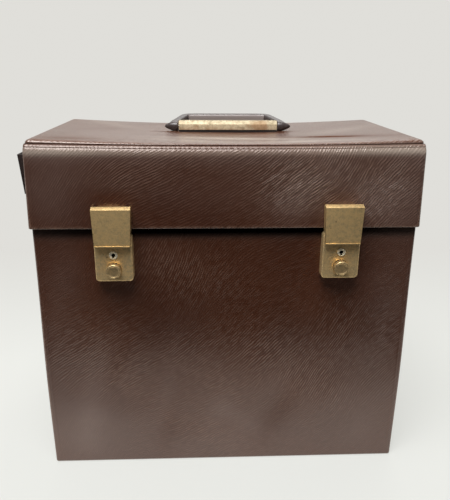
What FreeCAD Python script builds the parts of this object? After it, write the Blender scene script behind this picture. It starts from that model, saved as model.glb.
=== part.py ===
import FreeCAD, Part
import math
import os

# Record carrying case: a covered box with a deep hinged lid, two latches and a folding handle.
# Millimetres. The origin is the middle of the body's underside, the front faces -Y and +Z is up.

Vector = FreeCAD.Vector
X_AXIS = Vector(1, 0, 0)
Y_AXIS = Vector(0, 1, 0)
Z_AXIS = Vector(0, 0, 1)

# Body and lid, outside the covering
body_width = 353.0
body_depth = 196.0
body_height = 254.1
lid_side_overhang = 1.9
lid_side_lean = 2.1
lid_height = 79.8
lid_front_overhang = 4.1
parting_gap = 0.4
upright_edge_radius = 2.5
top_roll_radius = 6.3
top_dish = 5.0

# Walls
board_thickness = 6.0
top_board_thickness = 4.0
floor_board_thickness = 4.0
covering_thickness = 1.0
lining_thickness = 0.6
bottom_sheet_thickness = 1.0
bottom_sheet_margin = 3.0
covering_floor_gap = 0.5
seam_drop = 2.4
seam_width = 0.5

# Lip strips inside the body's rim
lip_thickness = 3.0
lip_rise = 12.0
lip_overlap = 26.0

# Latch places, from the body's sides
latch_left_inset = 73.5
latch_right_inset = 71.5
latch_right_rise = 1.3

# Lock case
lock_width = 34.4
lock_height = 43.7
lock_depth = 10.0
lock_top_drop = 4.2
lock_sheet = 1.0
lock_corner_radius = 3.5
lock_edge_radius = 1.5
hook_slot_drop = 8.5
lock_plate_thickness = 1.0
lock_plate_clearance = 0.1
lock_screw_radius = 1.1
lock_screw_length = 5.0
lock_screw_head_radius = 2.0
lock_screw_head_height = 0.8
lock_screw_inset = 4.2

# Keyhole
key_rise_share = 0.587
key_hole_radius = 1.75
key_slot_width = 1.7
key_slot_drop = 3.2
key_plate_radius = 3.8
key_plate_thickness = 0.5
key_rim_width = 0.9
key_rim_height = 0.5
key_post_radius = 0.9
key_post_length = 7.0

# Push button and the wedge on its stem
button_rise_share = 0.262
button_radius = 6.5
button_stand = 6.5
button_edge_radius = 1.2
button_clearance = 0.3
button_flange_radius = 7.6
button_flange_thickness = 1.0
button_travel = 2.0
wedge_width = 5.0
wedge_half_height = 3.0
wedge_tip_gap = 0.5

# Catch plate behind the button
catch_offset = 3.2
catch_thickness = 1.2
catch_side_gap = 0.3
catch_bottom_gap = 3.6
catch_wedge_gap = 0.4
catch_key_window = 9.0
catch_spring_thickness = 0.35
catch_spring_half_span = 9.0
catch_spring_width = 2.4
catch_spring_end_gap = 0.1

# Locking slide behind the catch plate
slide_thickness = 1.2
slide_back_gap = 0.3
slide_tab_reach = 0.2
slide_height = 5.0
slide_half_length = 9.0
slide_travel = 4.0
slide_post_gap = 0.3
slide_arm_width = 3.0
slide_arm_drop = 5.4
slide_tab_width = 2.0
slide_tab_height = 1.7
slide_tab_gap = 0.4

# Hasp and its hinge on the lid's front
hasp_sheet = 0.9
hasp_top_width = 34.4
hasp_bottom_width = 31.8
hasp_face_stand = 9.9
hasp_bottom_drop = 13.6
hasp_axis_rise = 19.7
hasp_face_top_rise = 0.4
hasp_axis_stand = 3.1
hasp_knuckle_radius = 1.6
hasp_pin_radius = 0.9
hasp_pin_clearance = 0.05
hasp_bevel_back = 1.4
hasp_bevel_rise = 2.3
hasp_wall_setback = 1.8
hasp_wall_rise = 1.2
hasp_lip = 0.8
hasp_lip_height = 1.0
hasp_lock_gap = 0.5
hasp_step_gap = 1.4
hasp_plate_thickness = 1.0
hasp_plate_width = 24.0
hasp_plate_height = 18.0
hasp_knuckle_length = 11.4
hasp_knuckle_gap = 0.3
hasp_rivet_radius = 1.2
hasp_rivet_head_radius = 2.2
hasp_rivet_head_height = 0.9
hasp_rivet_spacing = 14.0

# Hook inside the hasp
hook_width = 10.0
hook_slot_gap = 2.0
hook_sheet = 1.1
hook_pad_drop = 1.0
hook_pad_rise = 8.0
hook_lip_drop = 2.2
hook_lip_gap = 0.6
hook_plate_gap = 0.8

# Rear hinges
hinge_inset = 72.4
hinge_width = 42.0
hinge_leaf_height = 22.0
hinge_leaf_thickness = 1.5
hinge_knuckle_radius = 3.0
hinge_pin_radius = 1.5
hinge_pin_clearance = 0.05
hinge_back_gap = 0.3
hinge_knuckle_gap = 0.4
hinge_middle_length = 16.0
hinge_stop_reach = 5.2
hinge_stop_thickness = 1.5
hinge_stop_angle = 8.0
hinge_rivet_radius = 1.6
hinge_rivet_head_radius = 3.1
hinge_rivet_head_height = 1.2
hinge_rivet_spacing = 13.0

# Handle
handle_centre_x = 4.9
handle_centre_y = 0.0
bridge_length = 101.0
bridge_depth = 12.0
bridge_rod_cover = 4.5
bridge_wall = 0.8
bridge_slope = 3.5
bridge_edge_radius = 0.5
handle_seat_gap = 0.1
handle_rod_radius = 1.5
handle_rod_clearance = 0.06
handle_rod_reach = 7.0
knuckle_radius = 4.9
knuckle_clearance = 1.1
knuckle_side_gap = 0.5
knuckle_nose_radius = 3.6
arm_root_inset = 2.0
arm_width = 8.6
arm_thickness = 8.2
arm_end_inset = 1.0
arm_edge_radius = 2.6
grip_reach = 44.0
grip_inset = 1.5
grip_depth = 12.0
grip_height = 13.2
grip_lift = 0.8
grip_edge_radius = 4.8
handle_bore_gap = 0.6
handle_strip_inset = 0.3
handle_strip_thickness = 2.1
handle_rivet_radius = 2.0
handle_rivet_head_radius = 3.4
handle_rivet_head_height = 1.0
handle_rivet_inset = 14.0
backing_plate_width = 20.0
backing_plate_thickness = 1.2

# Label pocket on the lid's left side
pocket_front_inset = 4.5
pocket_length = 50.0
pocket_bottom_rise = 31.7
pocket_top_drop = 13.1
pocket_mouth = 5.6
pocket_foot = 1.6
pocket_sheet = 1.0
pocket_back_sheet = 0.8
card_thickness = 0.4
card_bottom_share = 0.333
card_side_gap = 1.0
card_stand_out = 1.6
card_back_gap = 0.2

# One overrun for every cut
cut_over = 2.0

# How near two heights are to count as one, and how much of a run lies along an axis it follows
tiny = 0.001
along_share = 0.999

# Places worked out from the sizes above
body_front_y = -body_depth / 2
body_back_y = body_depth / 2
lid_front_y = body_front_y - lid_front_overhang
lid_width = body_width + 2 * lid_side_overhang
lid_top_width = lid_width - 2 * lid_side_lean
lid_bottom_z = body_height + parting_gap
lid_top_z = lid_bottom_z + lid_height
wall = board_thickness + covering_thickness
dish_floor_z = lid_top_z - top_dish
body_inner_x = body_width / 2 - wall
body_inner_front_y = body_front_y + wall
body_inner_back_y = body_back_y - wall
lid_inner_front_y = lid_front_y + wall
lid_inner_back_y = body_back_y - wall
lid_ceiling_z = dish_floor_z - covering_thickness - top_board_thickness
lock_front_y = body_front_y - lock_depth
lock_bottom_z = body_height - lock_top_drop - lock_height
latch_left_x = -body_width / 2 + latch_left_inset
latch_right_x = body_width / 2 - latch_right_inset
key_rise = lock_height * key_rise_share
button_rise = lock_height * button_rise_share
hook_slot_width = hook_width + 2 * hook_slot_gap
plate_front_y = body_front_y - lock_plate_thickness
catch_back_y = body_front_y - catch_offset
catch_front_y = catch_back_y - catch_thickness
hasp_axis_y = lid_front_y - hasp_axis_stand
hasp_face_y = lid_front_y - hasp_face_stand
hasp_bottom_z = body_height - hasp_bottom_drop
hasp_axis_z = lid_bottom_z + hasp_axis_rise
hasp_face_top_z = hasp_axis_z + hasp_face_top_rise
hook_back_y = plate_front_y - hook_plate_gap
hinge_axis_y = body_back_y + hinge_knuckle_radius + hinge_back_gap
hinge_axis_z = lid_bottom_z
knuckle_inner_x = bridge_length / 2 + knuckle_side_gap
knuckle_length = arm_root_inset + arm_width + knuckle_nose_radius
grip_length = bridge_length - 2 * grip_inset
handle_axis_z = dish_floor_z + knuckle_radius + knuckle_clearance
bridge_top_z = handle_axis_z + handle_rod_radius + bridge_rod_cover
grip_bottom_z = handle_axis_z - knuckle_radius + grip_lift
grip_top_z = grip_bottom_z + grip_height
pocket_bottom_z = lid_bottom_z + pocket_bottom_rise
pocket_top_z = lid_top_z - pocket_top_drop

LATCHES = (("left", latch_left_x, 0.0), ("right", latch_right_x, latch_right_rise))
HINGES = (("left", -body_width / 2 + hinge_inset), ("right", body_width / 2 - hinge_inset))

nodes = {}


def box(x0, x1, y0, y1, z0, z1):
    return Part.makeBox(x1 - x0, y1 - y0, z1 - z0, Vector(x0, y0, z0))


def rod_x(x0, x1, y, z, radius):
    return Part.makeCylinder(radius, x1 - x0, Vector(x0, y, z), X_AXIS)


def rod_y(x, z, y0, y1, radius):
    return Part.makeCylinder(radius, y1 - y0, Vector(x, y0, z), Y_AXIS)


def rod_z(x, y, z0, z1, radius):
    return Part.makeCylinder(radius, z1 - z0, Vector(x, y, z0), Z_AXIS)


def prism(points, direction):
    return Part.Face(Part.makePolygon(points + [points[0]])).extrude(direction)


def prism_along_y(outline, y0, y1):
    return prism([Vector(x, y0, z) for x, z in outline], Vector(0, y1 - y0, 0))


def prism_along_x(outline, x0, x1):
    return prism([Vector(x0, y, z) for y, z in outline], Vector(x1 - x0, 0, 0))


def prism_along_z(outline, z0, z1):
    return prism([Vector(x, y, z0) for x, y in outline], Vector(0, 0, z1 - z0))


def edges_along(shape, axis):
    found = []
    for edge in shape.Edges:
        if len(edge.Vertexes) == 2:
            run = edge.Vertexes[1].Point.sub(edge.Vertexes[0].Point)
            if run.Length > 0 and abs(run.dot(axis)) > along_share * run.Length:
                found.append(edge)
    return found


def rounded(shape, radius, axis):
    return shape.makeFillet(radius, edges_along(shape, axis))


def joined(shapes):
    whole = shapes[0]
    for shape in shapes[1:]:
        whole = whole.fuse(shape)
    return whole.removeSplitter()


def group(shapes):
    return Part.makeCompound(shapes)


# Body

def body_form(inset, z0, z1):
    """The body's outside, drawn in by an inset, with rounded upright edges."""
    half = body_width / 2 - inset
    form = box(-half, half, body_front_y + inset, body_back_y - inset, z0, z1)
    return rounded(form, upright_edge_radius - inset, Z_AXIS)


def body_hollow(z0, z1):
    return box(-body_inner_x, body_inner_x, body_inner_front_y, body_inner_back_y, z0, z1)


def make_body_covering():
    skin = body_form(0, covering_floor_gap, body_height)
    core = body_form(covering_thickness, covering_floor_gap - cut_over, body_height - covering_thickness)
    return skin.cut(core).cut(body_hollow(0, body_height + cut_over))


def make_body_boards():
    z0 = bottom_sheet_thickness
    z1 = body_height - covering_thickness
    form = body_form(covering_thickness, z0, z1)
    reach = body_width
    front = form.common(box(-reach, reach, body_front_y, body_inner_front_y, z0, z1))
    back = form.common(box(-reach, reach, body_inner_back_y, body_back_y, z0, z1))
    outer_x = body_width / 2 - covering_thickness
    left = box(-outer_x, -body_inner_x, body_inner_front_y, body_inner_back_y, z0, z1)
    right = box(body_inner_x, outer_x, body_inner_front_y, body_inner_back_y, z0, z1)
    bottom = body_hollow(z0, z0 + floor_board_thickness)
    return {"front": front, "back": back, "left": left, "right": right, "bottom": bottom}


def make_body_bottom_sheet():
    form = body_form(covering_thickness, 0, bottom_sheet_thickness)
    return form.common(box(-body_width / 2 + bottom_sheet_margin, body_width / 2 - bottom_sheet_margin,
                           body_front_y + bottom_sheet_margin, body_back_y - bottom_sheet_margin,
                           0, bottom_sheet_thickness))


def make_body_lining():
    floor_z = bottom_sheet_thickness + floor_board_thickness
    rim_z = body_height - lip_overlap
    skin = body_hollow(floor_z, rim_z)
    hollow = box(-body_inner_x + lining_thickness, body_inner_x - lining_thickness,
                 body_inner_front_y + lining_thickness, body_inner_back_y - lining_thickness,
                 floor_z + lining_thickness, rim_z + cut_over)
    return skin.cut(hollow)


def make_lips():
    z0 = body_height - lip_overlap
    z1 = body_height + lip_rise
    side_front_y = body_inner_front_y + lip_thickness
    side_back_y = body_inner_back_y - lip_thickness
    side_x = body_inner_x - lip_thickness
    return {
        "front": box(-body_inner_x, body_inner_x, body_inner_front_y, side_front_y, z0, z1),
        "back": box(-body_inner_x, body_inner_x, side_back_y, body_inner_back_y, z0, body_height),
        "left": box(-body_inner_x, -side_x, side_front_y, side_back_y, z0, z1),
        "right": box(side_x, body_inner_x, side_front_y, side_back_y, z0, z1),
    }


# Lid

def lid_half_width(z):
    """Half the lid's width at a height, because its sides lean in towards the top."""
    share = (z - lid_bottom_z) / lid_height
    return lid_width / 2 + (lid_top_width - lid_width) / 2 * share


def leaning_block(inset, y0, y1, z0, z1):
    outline = [(-lid_half_width(z0) + inset, z0), (lid_half_width(z0) - inset, z0),
               (lid_half_width(z1) - inset, z1), (-lid_half_width(z1) + inset, z1)]
    return prism_along_y(outline, y0, y1)


def dish_cutter(inset):
    """A very large cylinder that hollows the lid's top by the dish's depth."""
    half = lid_top_width / 2
    radius = (half * half + top_dish * top_dish) / (2 * top_dish)
    start = Vector(0, lid_front_y - cut_over, dish_floor_z + radius)
    return Part.makeCylinder(radius + inset, body_back_y - lid_front_y + 2 * cut_over, start, Y_AXIS)


def lid_form(inset, z0):
    """The lid's outside, drawn in by an inset, with rolled top edges and a dished top."""
    z1 = lid_top_z - inset
    form = leaning_block(inset, lid_front_y + inset, body_back_y - inset, z0, z1)
    corners = [edge for edge in form.Edges if edge.BoundBox.ZLength > lid_height / 2]
    form = form.makeFillet(upright_edge_radius - inset, corners)
    rolled = [edge for edge in form.Edges if edge.BoundBox.ZMin > z1 - tiny]
    form = form.makeFillet(top_roll_radius - inset, rolled)
    return form.cut(dish_cutter(inset))


def lid_hollow(inset, z0, z1):
    return leaning_block(wall + inset, lid_inner_front_y + inset, lid_inner_back_y - inset, z0, z1)


def make_lid_coverings():
    skin = lid_form(0, lid_bottom_z)
    core = lid_form(covering_thickness, lid_bottom_z - cut_over)
    core = core.cut(box(-lid_width, lid_width, lid_front_y, body_back_y, lid_bottom_z - 2 * cut_over,
                        lid_bottom_z + covering_thickness))
    shell = skin.cut(core).cut(lid_hollow(0, lid_bottom_z - cut_over, lid_bottom_z + 2 * covering_thickness))
    seam_z = dish_floor_z - seam_drop
    y0 = lid_front_y - cut_over
    y1 = body_back_y + cut_over
    below = box(-lid_width, lid_width, y0, y1, lid_bottom_z - cut_over, seam_z)
    above = box(-lid_width, lid_width, y0, y1, seam_z + seam_width, lid_top_z + cut_over)
    return shell.common(below), shell.common(above)


def make_lid_boards():
    z0 = lid_bottom_z + covering_thickness
    form = lid_form(covering_thickness, z0)
    reach = lid_width
    front = form.common(box(-reach, reach, lid_front_y, lid_inner_front_y, z0, lid_top_z))
    back = form.common(box(-reach, reach, lid_inner_back_y, body_back_y, z0, lid_top_z))
    middle = form.common(box(-reach, reach, lid_inner_front_y, lid_inner_back_y, z0, lid_top_z))
    column = leaning_block(wall, lid_inner_front_y, lid_inner_back_y, z0 - cut_over, lid_top_z + cut_over)
    top = middle.common(column).common(box(-reach, reach, lid_front_y, body_back_y, lid_ceiling_z, lid_top_z))
    sides = middle.cut(column)
    left = sides.common(box(-reach, 0, lid_front_y, body_back_y, z0, lid_top_z))
    right = sides.common(box(0, reach, lid_front_y, body_back_y, z0, lid_top_z))
    return {"front": front, "back": back, "left": left, "right": right, "top": top}


def make_lid_lining():
    z0 = lid_bottom_z + covering_thickness
    skin = lid_hollow(0, z0, lid_ceiling_z)
    return skin.cut(lid_hollow(lining_thickness, z0 - cut_over, lid_ceiling_z - lining_thickness))


# Latches, each drawn about its own middle x and the height of its lock case

def rounded_block(x, half_width, y0, y1, z0, z1, radius):
    return rounded(box(x - half_width, x + half_width, y0, y1, z0, z1), radius, Y_AXIS)


def key_hole(x, z, y0, y1):
    slot = box(x - key_slot_width / 2, x + key_slot_width / 2, y0, y1, z - key_slot_drop, z)
    return rod_y(x, z, y0, y1, key_hole_radius).fuse(slot)


def make_lock_case(x, z):
    half = lock_width / 2
    top = z + lock_height
    case = rounded_block(x, half, lock_front_y, body_front_y, z, top, lock_corner_radius)
    face_edges = [edge for edge in case.Edges if edge.BoundBox.YMax < lock_front_y + tiny]
    case = case.makeFillet(lock_edge_radius, face_edges)
    inside = rounded_block(x, half - lock_sheet, lock_front_y + lock_sheet, body_front_y + cut_over,
                           z + lock_sheet, top - lock_sheet, lock_corner_radius - lock_sheet)
    face_y0 = lock_front_y - cut_over
    face_y1 = lock_front_y + lock_sheet + tiny
    slot = box(x - hook_slot_width / 2, x + hook_slot_width / 2, face_y0, body_front_y + cut_over,
               top - hook_slot_drop, top + cut_over)
    button_hole = rod_y(x, z + button_rise, face_y0, face_y1, button_radius + button_clearance)
    key_opening = rod_y(x, z + key_rise, face_y0, face_y1, key_plate_radius - key_rim_width)
    return case.cut(inside).cut(slot).cut(button_hole).cut(key_opening)


def make_lock_plate(x, z):
    inset = lock_sheet + lock_plate_clearance
    return rounded_block(x, lock_width / 2 - inset, plate_front_y, body_front_y, z + inset,
                         z + lock_height - inset, lock_corner_radius - inset)


def lock_screw_places(x, z):
    side = lock_width / 2 - lock_screw_inset
    heights = (z + lock_screw_inset, z + lock_height - lock_screw_inset)
    return [(x + sign * side, height) for sign in (-1, 1) for height in heights]


def make_lock_screws(x, z):
    screws = []
    for place_x, place_z in lock_screw_places(x, z):
        head = rod_y(place_x, place_z, plate_front_y - lock_screw_head_height, plate_front_y,
                     lock_screw_head_radius)
        shank = rod_y(place_x, place_z, plate_front_y, body_front_y + lock_screw_length, lock_screw_radius)
        screws.append(head.fuse(shank))
    return screws


def lock_screw_drills(x, z):
    y0 = plate_front_y - cut_over
    y1 = body_front_y + lock_screw_length
    return [rod_y(place_x, place_z, y0, y1, lock_screw_radius)
            for place_x, place_z in lock_screw_places(x, z)]


def make_key_plate(x, z):
    key_z = z + key_rise
    front_y = lock_front_y - key_plate_thickness
    disc = rod_y(x, key_z, front_y, lock_front_y, key_plate_radius)
    rim = rod_y(x, key_z, front_y - key_rim_height, front_y, key_plate_radius)
    rim = rim.cut(rod_y(x, key_z, front_y - key_rim_height, front_y, key_plate_radius - key_rim_width))
    return disc.fuse(rim).cut(key_hole(x, key_z, front_y - cut_over, lock_front_y + cut_over))


def make_key_post(x, z):
    return rod_y(x, z + key_rise, plate_front_y - key_post_length, plate_front_y, key_post_radius)


def make_button(x, z):
    button_z = z + button_rise
    front_y = lock_front_y - button_stand
    flange_y = lock_front_y + lock_sheet + button_clearance
    flange_back_y = flange_y + button_flange_thickness
    head = rod_y(x, button_z, front_y, flange_y, button_radius)
    face_edges = [edge for edge in head.Edges if edge.BoundBox.YMax < front_y + tiny]
    head = head.makeFillet(button_edge_radius, face_edges)
    flange = rod_y(x, button_z, flange_y, flange_back_y, button_flange_radius)
    tip_y = plate_front_y - button_travel - wedge_tip_gap
    low_z = button_z - wedge_half_height
    high_z = button_z + wedge_half_height
    ramp_y = catch_front_y - button_travel
    outline = [(flange_back_y, high_z), (tip_y, high_z), (tip_y, low_z + tip_y - ramp_y),
               (ramp_y, low_z), (flange_back_y, low_z)]
    wedge = prism_along_x(outline, x - wedge_width / 2, x + wedge_width / 2)
    return joined([head, flange, wedge])


def catch_bottom(z):
    return z + lock_sheet + catch_bottom_gap


def catch_top(z):
    return z + lock_height - hook_slot_drop


def slide_tab_bottom(z):
    return z + key_rise - slide_height / 2 - slide_arm_drop


def make_catch(x, z):
    half = lock_width / 2 - lock_sheet - catch_side_gap
    plate = box(x - half, x + half, catch_front_y, catch_back_y, catch_bottom(z), catch_top(z))
    plate = rounded(plate, lock_corner_radius - lock_sheet, Y_AXIS)
    y0 = catch_front_y - cut_over
    y1 = catch_back_y + cut_over
    button_z = z + button_rise
    ramp_z = button_z - wedge_half_height + button_travel
    window_half = wedge_width / 2 + catch_wedge_gap
    window = box(x - window_half, x + window_half, y0, y1, ramp_z - catch_wedge_gap,
                 button_z + wedge_half_height + button_travel + catch_wedge_gap)
    key_half = catch_key_window / 2
    key_z = z + key_rise
    key_window = box(x - key_half, x + key_half, y0, y1, key_z - key_half, key_z + key_half)
    tab_left = x - slide_half_length - slide_tab_width
    tab_right = x - slide_half_length
    tab_z0 = slide_tab_bottom(z) - slide_tab_gap
    tab_z1 = slide_tab_bottom(z) + slide_tab_height + slide_tab_gap
    free_slot = box(tab_left - slide_tab_gap, tab_right + slide_tab_gap, y0, y1,
                    tab_z0, tab_z1 + button_travel)
    locked_slot = box(x - half - cut_over, tab_left, y0, y1, tab_z0, tab_z1)
    return plate.cut(window).cut(key_window).cut(free_slot).cut(locked_slot)


def make_catch_spring(x, z):
    foot_z = z + lock_sheet + catch_spring_end_gap
    crown_z = catch_bottom(z) - catch_spring_end_gap
    span = catch_spring_half_span
    inner_span = span - 2 * catch_spring_thickness
    y0 = (catch_front_y + catch_back_y - catch_spring_width) / 2
    outer = Part.Arc(Vector(x - span, y0, foot_z), Vector(x, y0, crown_z), Vector(x + span, y0, foot_z))
    inner = Part.Arc(Vector(x - inner_span, y0, foot_z), Vector(x, y0, crown_z - catch_spring_thickness),
                     Vector(x + inner_span, y0, foot_z))
    left_end = Part.makeLine(Vector(x - span, y0, foot_z), Vector(x - inner_span, y0, foot_z))
    right_end = Part.makeLine(Vector(x + span, y0, foot_z), Vector(x + inner_span, y0, foot_z))
    outline = Part.Wire(Part.__sortEdges__([outer.toShape(), right_end, inner.toShape(), left_end]))
    return Part.Face(outline).extrude(Vector(0, catch_spring_width, 0))


def make_lock_slide(x, z):
    key_z = z + key_rise
    back_y = plate_front_y - slide_back_gap
    front_y = back_y - slide_thickness
    left = x - slide_half_length - slide_tab_width
    half = slide_height / 2
    bar = box(left, x + slide_half_length, front_y, back_y, key_z - half, key_z + half)
    arm = box(left, left + slide_arm_width, front_y, back_y, slide_tab_bottom(z), key_z)
    tab = box(left, left + slide_tab_width, catch_front_y - slide_tab_reach, front_y,
              slide_tab_bottom(z), slide_tab_bottom(z) + slide_tab_height)
    room = key_post_radius + slide_post_gap
    post_slot = box(x - room, x + slide_travel + room, front_y - cut_over, back_y + cut_over,
                    key_z - room, key_z + room)
    return joined([bar, arm, tab]).cut(post_slot)


# Hasp, its hinge plate on the lid and its hook

def hasp_bevel_z(y, rise):
    """Height of the sloping top sheet's outer face at a depth."""
    start_z = hasp_face_top_z + rise
    slope = (hasp_axis_z + hasp_bevel_rise - hasp_face_top_z) / (hasp_axis_y - hasp_bevel_back - hasp_face_y)
    return start_z + slope * (y - hasp_face_y)


def hasp_taper(x, inset, rise):
    top_z = hasp_axis_z + rise + hasp_face_stand
    bottom_z = hasp_bottom_z + rise
    low_z = bottom_z - cut_over
    spread_share = (top_z - low_z) / (hasp_face_top_z - hasp_bottom_z)
    low_half = hasp_bottom_width / 2 - inset
    high_half = low_half + (hasp_top_width - hasp_bottom_width) / 2 * spread_share
    outline = [(x - low_half, low_z), (x + low_half, low_z), (x + high_half, top_z), (x - high_half, top_z)]
    return prism_along_y(outline, hasp_face_y - cut_over, lid_front_y + cut_over)


def make_hasp(x, rise):
    bottom_z = hasp_bottom_z + rise
    axis_z = hasp_axis_z + rise
    end_y = hasp_axis_y - hasp_bevel_back
    end_z = axis_z + hasp_bevel_rise
    rear_y = hasp_axis_y + hasp_wall_setback
    step_z = lock_bottom_z + rise + lock_height + hasp_step_gap
    low_rear_y = lock_front_y - hasp_lock_gap
    outline = [(hasp_face_y, bottom_z), (hasp_face_y, hasp_face_top_z + rise), (end_y, end_z),
               (rear_y, axis_z + hasp_wall_rise), (rear_y, step_z), (low_rear_y, step_z),
               (low_rear_y, bottom_z)]
    reach = hasp_top_width
    outer = prism_along_x(outline, x - reach, x + reach).common(hasp_taper(x, 0, rise))
    bevel_run = end_y - hasp_face_y
    drop = hasp_sheet * math.hypot(bevel_run, end_z - hasp_face_top_z - rise) / bevel_run
    inner_y = hasp_face_y + hasp_sheet
    inner_end_z = end_z - drop
    low_z = bottom_z - cut_over
    high_z = end_z + cut_over
    hollow = [(inner_y, low_z), (inner_y, hasp_bevel_z(inner_y, rise) - drop), (end_y, inner_end_z),
              (end_y, high_z), (rear_y + cut_over, high_z), (rear_y + cut_over, low_z)]
    inner = prism_along_x(hollow, x - reach, x + reach).common(hasp_taper(x, hasp_sheet, rise))
    lip_half = hasp_bottom_width / 2
    lip = box(x - lip_half, x + lip_half, hasp_face_y - hasp_lip, hasp_face_y,
              bottom_z, bottom_z + hasp_lip_height)
    knuckle_half = hasp_knuckle_length / 2
    neck = [(end_y, end_z), (hasp_axis_y, axis_z + hasp_knuckle_radius),
            (hasp_axis_y - hasp_knuckle_radius, axis_z), (end_y, inner_end_z)]
    neck = prism_along_x(neck, x - knuckle_half, x + knuckle_half)
    knuckle = rod_x(x - knuckle_half, x + knuckle_half, hasp_axis_y, axis_z, hasp_knuckle_radius)
    bore = rod_x(x - knuckle_half - cut_over, x + knuckle_half + cut_over, hasp_axis_y, axis_z,
                 hasp_pin_radius + hasp_pin_clearance)
    return joined([outer.cut(inner), lip, neck, knuckle]).cut(bore)


def make_hook(x, rise):
    z = lock_bottom_z + rise
    lip_z = catch_top(z) + hook_lip_gap
    tongue_z = lip_z + hook_lip_drop
    half = hook_width / 2
    front_y = hasp_face_y + hasp_sheet
    pad = box(x - half, x + half, front_y, front_y + hook_sheet,
              tongue_z - hook_pad_drop, tongue_z + hook_pad_rise)
    tongue = box(x - half, x + half, front_y, hook_back_y, tongue_z, tongue_z + hook_sheet)
    lip = box(x - half, x + half, hook_back_y - hook_sheet, hook_back_y, lip_z, tongue_z + hook_sheet)
    return joined([pad, tongue, lip])


def make_hasp_plate(x, rise):
    axis_z = hasp_axis_z + rise
    half = hasp_plate_width / 2
    plate_y = lid_front_y - hasp_plate_thickness
    shapes = [box(x - half, x + half, plate_y, lid_front_y, axis_z - hasp_plate_height, axis_z)]
    start = hasp_knuckle_length / 2 + hasp_knuckle_gap
    ear_z = axis_z - hasp_knuckle_radius
    for x0, x1 in ((x - half, x - start), (x + start, x + half)):
        shapes.append(rod_x(x0, x1, hasp_axis_y, axis_z, hasp_knuckle_radius))
        shapes.append(box(x0, x1, hasp_axis_y + hasp_pin_radius, lid_front_y, ear_z, axis_z))
    bore = rod_x(x - half - cut_over, x + half + cut_over, hasp_axis_y, axis_z, hasp_pin_radius)
    return joined(shapes).cut(bore)


def make_hasp_pin(x, rise):
    half = hasp_plate_width / 2
    return rod_x(x - half, x + half, hasp_axis_y, hasp_axis_z + rise, hasp_pin_radius)


def hasp_rivet_places(x, rise):
    height = hasp_axis_z + rise - (hasp_plate_height + hasp_knuckle_radius) / 2
    return [(x + sign * hasp_rivet_spacing / 2, height) for sign in (-1, 1)]


def make_hasp_rivets(x, rise):
    rivets = []
    plate_y = lid_front_y - hasp_plate_thickness
    for place_x, place_z in hasp_rivet_places(x, rise):
        head = rod_y(place_x, place_z, plate_y - hasp_rivet_head_height, plate_y, hasp_rivet_head_radius)
        rivets.append(head.fuse(rod_y(place_x, place_z, plate_y, lid_inner_front_y, hasp_rivet_radius)))
    return rivets


def hasp_rivet_drills(x, rise):
    return [rod_y(place_x, place_z, lid_front_y - cut_over, lid_inner_front_y, hasp_rivet_radius)
            for place_x, place_z in hasp_rivet_places(x, rise)]


# Rear hinges, each leaf on the outside of the back wall

def hinge_leaf_span(up):
    """Bottom and top of the leaf above or below the axis."""
    start = hinge_axis_z + up * (hinge_knuckle_radius + hinge_knuckle_gap)
    end = start + up * hinge_leaf_height
    return min(start, end), max(start, end)


def make_hinge_leaf(x, up, spans):
    half = hinge_width / 2
    z0, z1 = hinge_leaf_span(up)
    face_y = body_back_y + hinge_leaf_thickness
    shapes = [box(x - half, x + half, body_back_y, face_y, z0, z1)]
    for x0, x1 in spans:
        shapes.append(box(x0, x1, body_back_y, face_y, min(z0, hinge_axis_z), max(z1, hinge_axis_z)))
        shapes.append(rod_x(x0, x1, hinge_axis_y, hinge_axis_z, hinge_knuckle_radius))
    return shapes


def hinge_bore(x, clearance):
    half = hinge_width / 2 + cut_over
    return rod_x(x - half, x + half, hinge_axis_y, hinge_axis_z, hinge_pin_radius + clearance)


def make_hinge_body_leaf(x):
    middle = hinge_middle_length / 2
    half = hinge_width / 2
    shapes = make_hinge_leaf(x, -1, ((x - half, x - middle), (x + middle, x + half)))
    return joined(shapes).cut(hinge_bore(x, 0))


def make_hinge_lid_leaf(x):
    middle = hinge_middle_length / 2 - hinge_knuckle_gap
    shapes = make_hinge_leaf(x, 1, ((x - middle, x + middle),))
    stop_y = hinge_axis_y + hinge_pin_radius + hinge_back_gap
    stop_half = hinge_stop_thickness / 2
    stop = box(x - middle, x + middle, stop_y, hinge_axis_y + hinge_stop_reach,
               hinge_axis_z - stop_half, hinge_axis_z + stop_half)
    stop.rotate(Vector(0, hinge_axis_y, hinge_axis_z), X_AXIS, hinge_stop_angle)
    return joined(shapes + [stop]).cut(hinge_bore(x, hinge_pin_clearance))


def make_hinge_pin(x):
    half = hinge_width / 2
    return rod_x(x - half, x + half, hinge_axis_y, hinge_axis_z, hinge_pin_radius)


def hinge_rivet_places(x, up):
    height = sum(hinge_leaf_span(up)) / 2
    return [(x + step * hinge_rivet_spacing, height) for step in (-1, 0, 1)]


def make_hinge_rivets(x, up):
    rivets = []
    face_y = body_back_y + hinge_leaf_thickness
    for place_x, place_z in hinge_rivet_places(x, up):
        head = rod_y(place_x, place_z, face_y, face_y + hinge_rivet_head_height, hinge_rivet_head_radius)
        rivets.append(head.fuse(rod_y(place_x, place_z, body_inner_back_y, face_y, hinge_rivet_radius)))
    return rivets


def hinge_rivet_drills(x, up):
    return [rod_y(place_x, place_z, body_inner_back_y, body_back_y + hinge_leaf_thickness + cut_over,
                  hinge_rivet_radius) for place_x, place_z in hinge_rivet_places(x, up)]


# Handle on the lid's top

def dish_height(x):
    """Height of the lid's dished top at a place across its width."""
    half = lid_top_width / 2
    radius = (half * half + top_dish * top_dish) / (2 * top_dish)
    return dish_floor_z + radius - math.sqrt(radius * radius - x * x)


def handle_seat_z():
    """Height at which the strip under the bridge rests on the dished top, by its ends."""
    return dish_height(abs(handle_centre_x) + bridge_length / 2) + handle_seat_gap


def bridge_bottom_z():
    return handle_seat_z() + handle_strip_thickness


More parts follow.
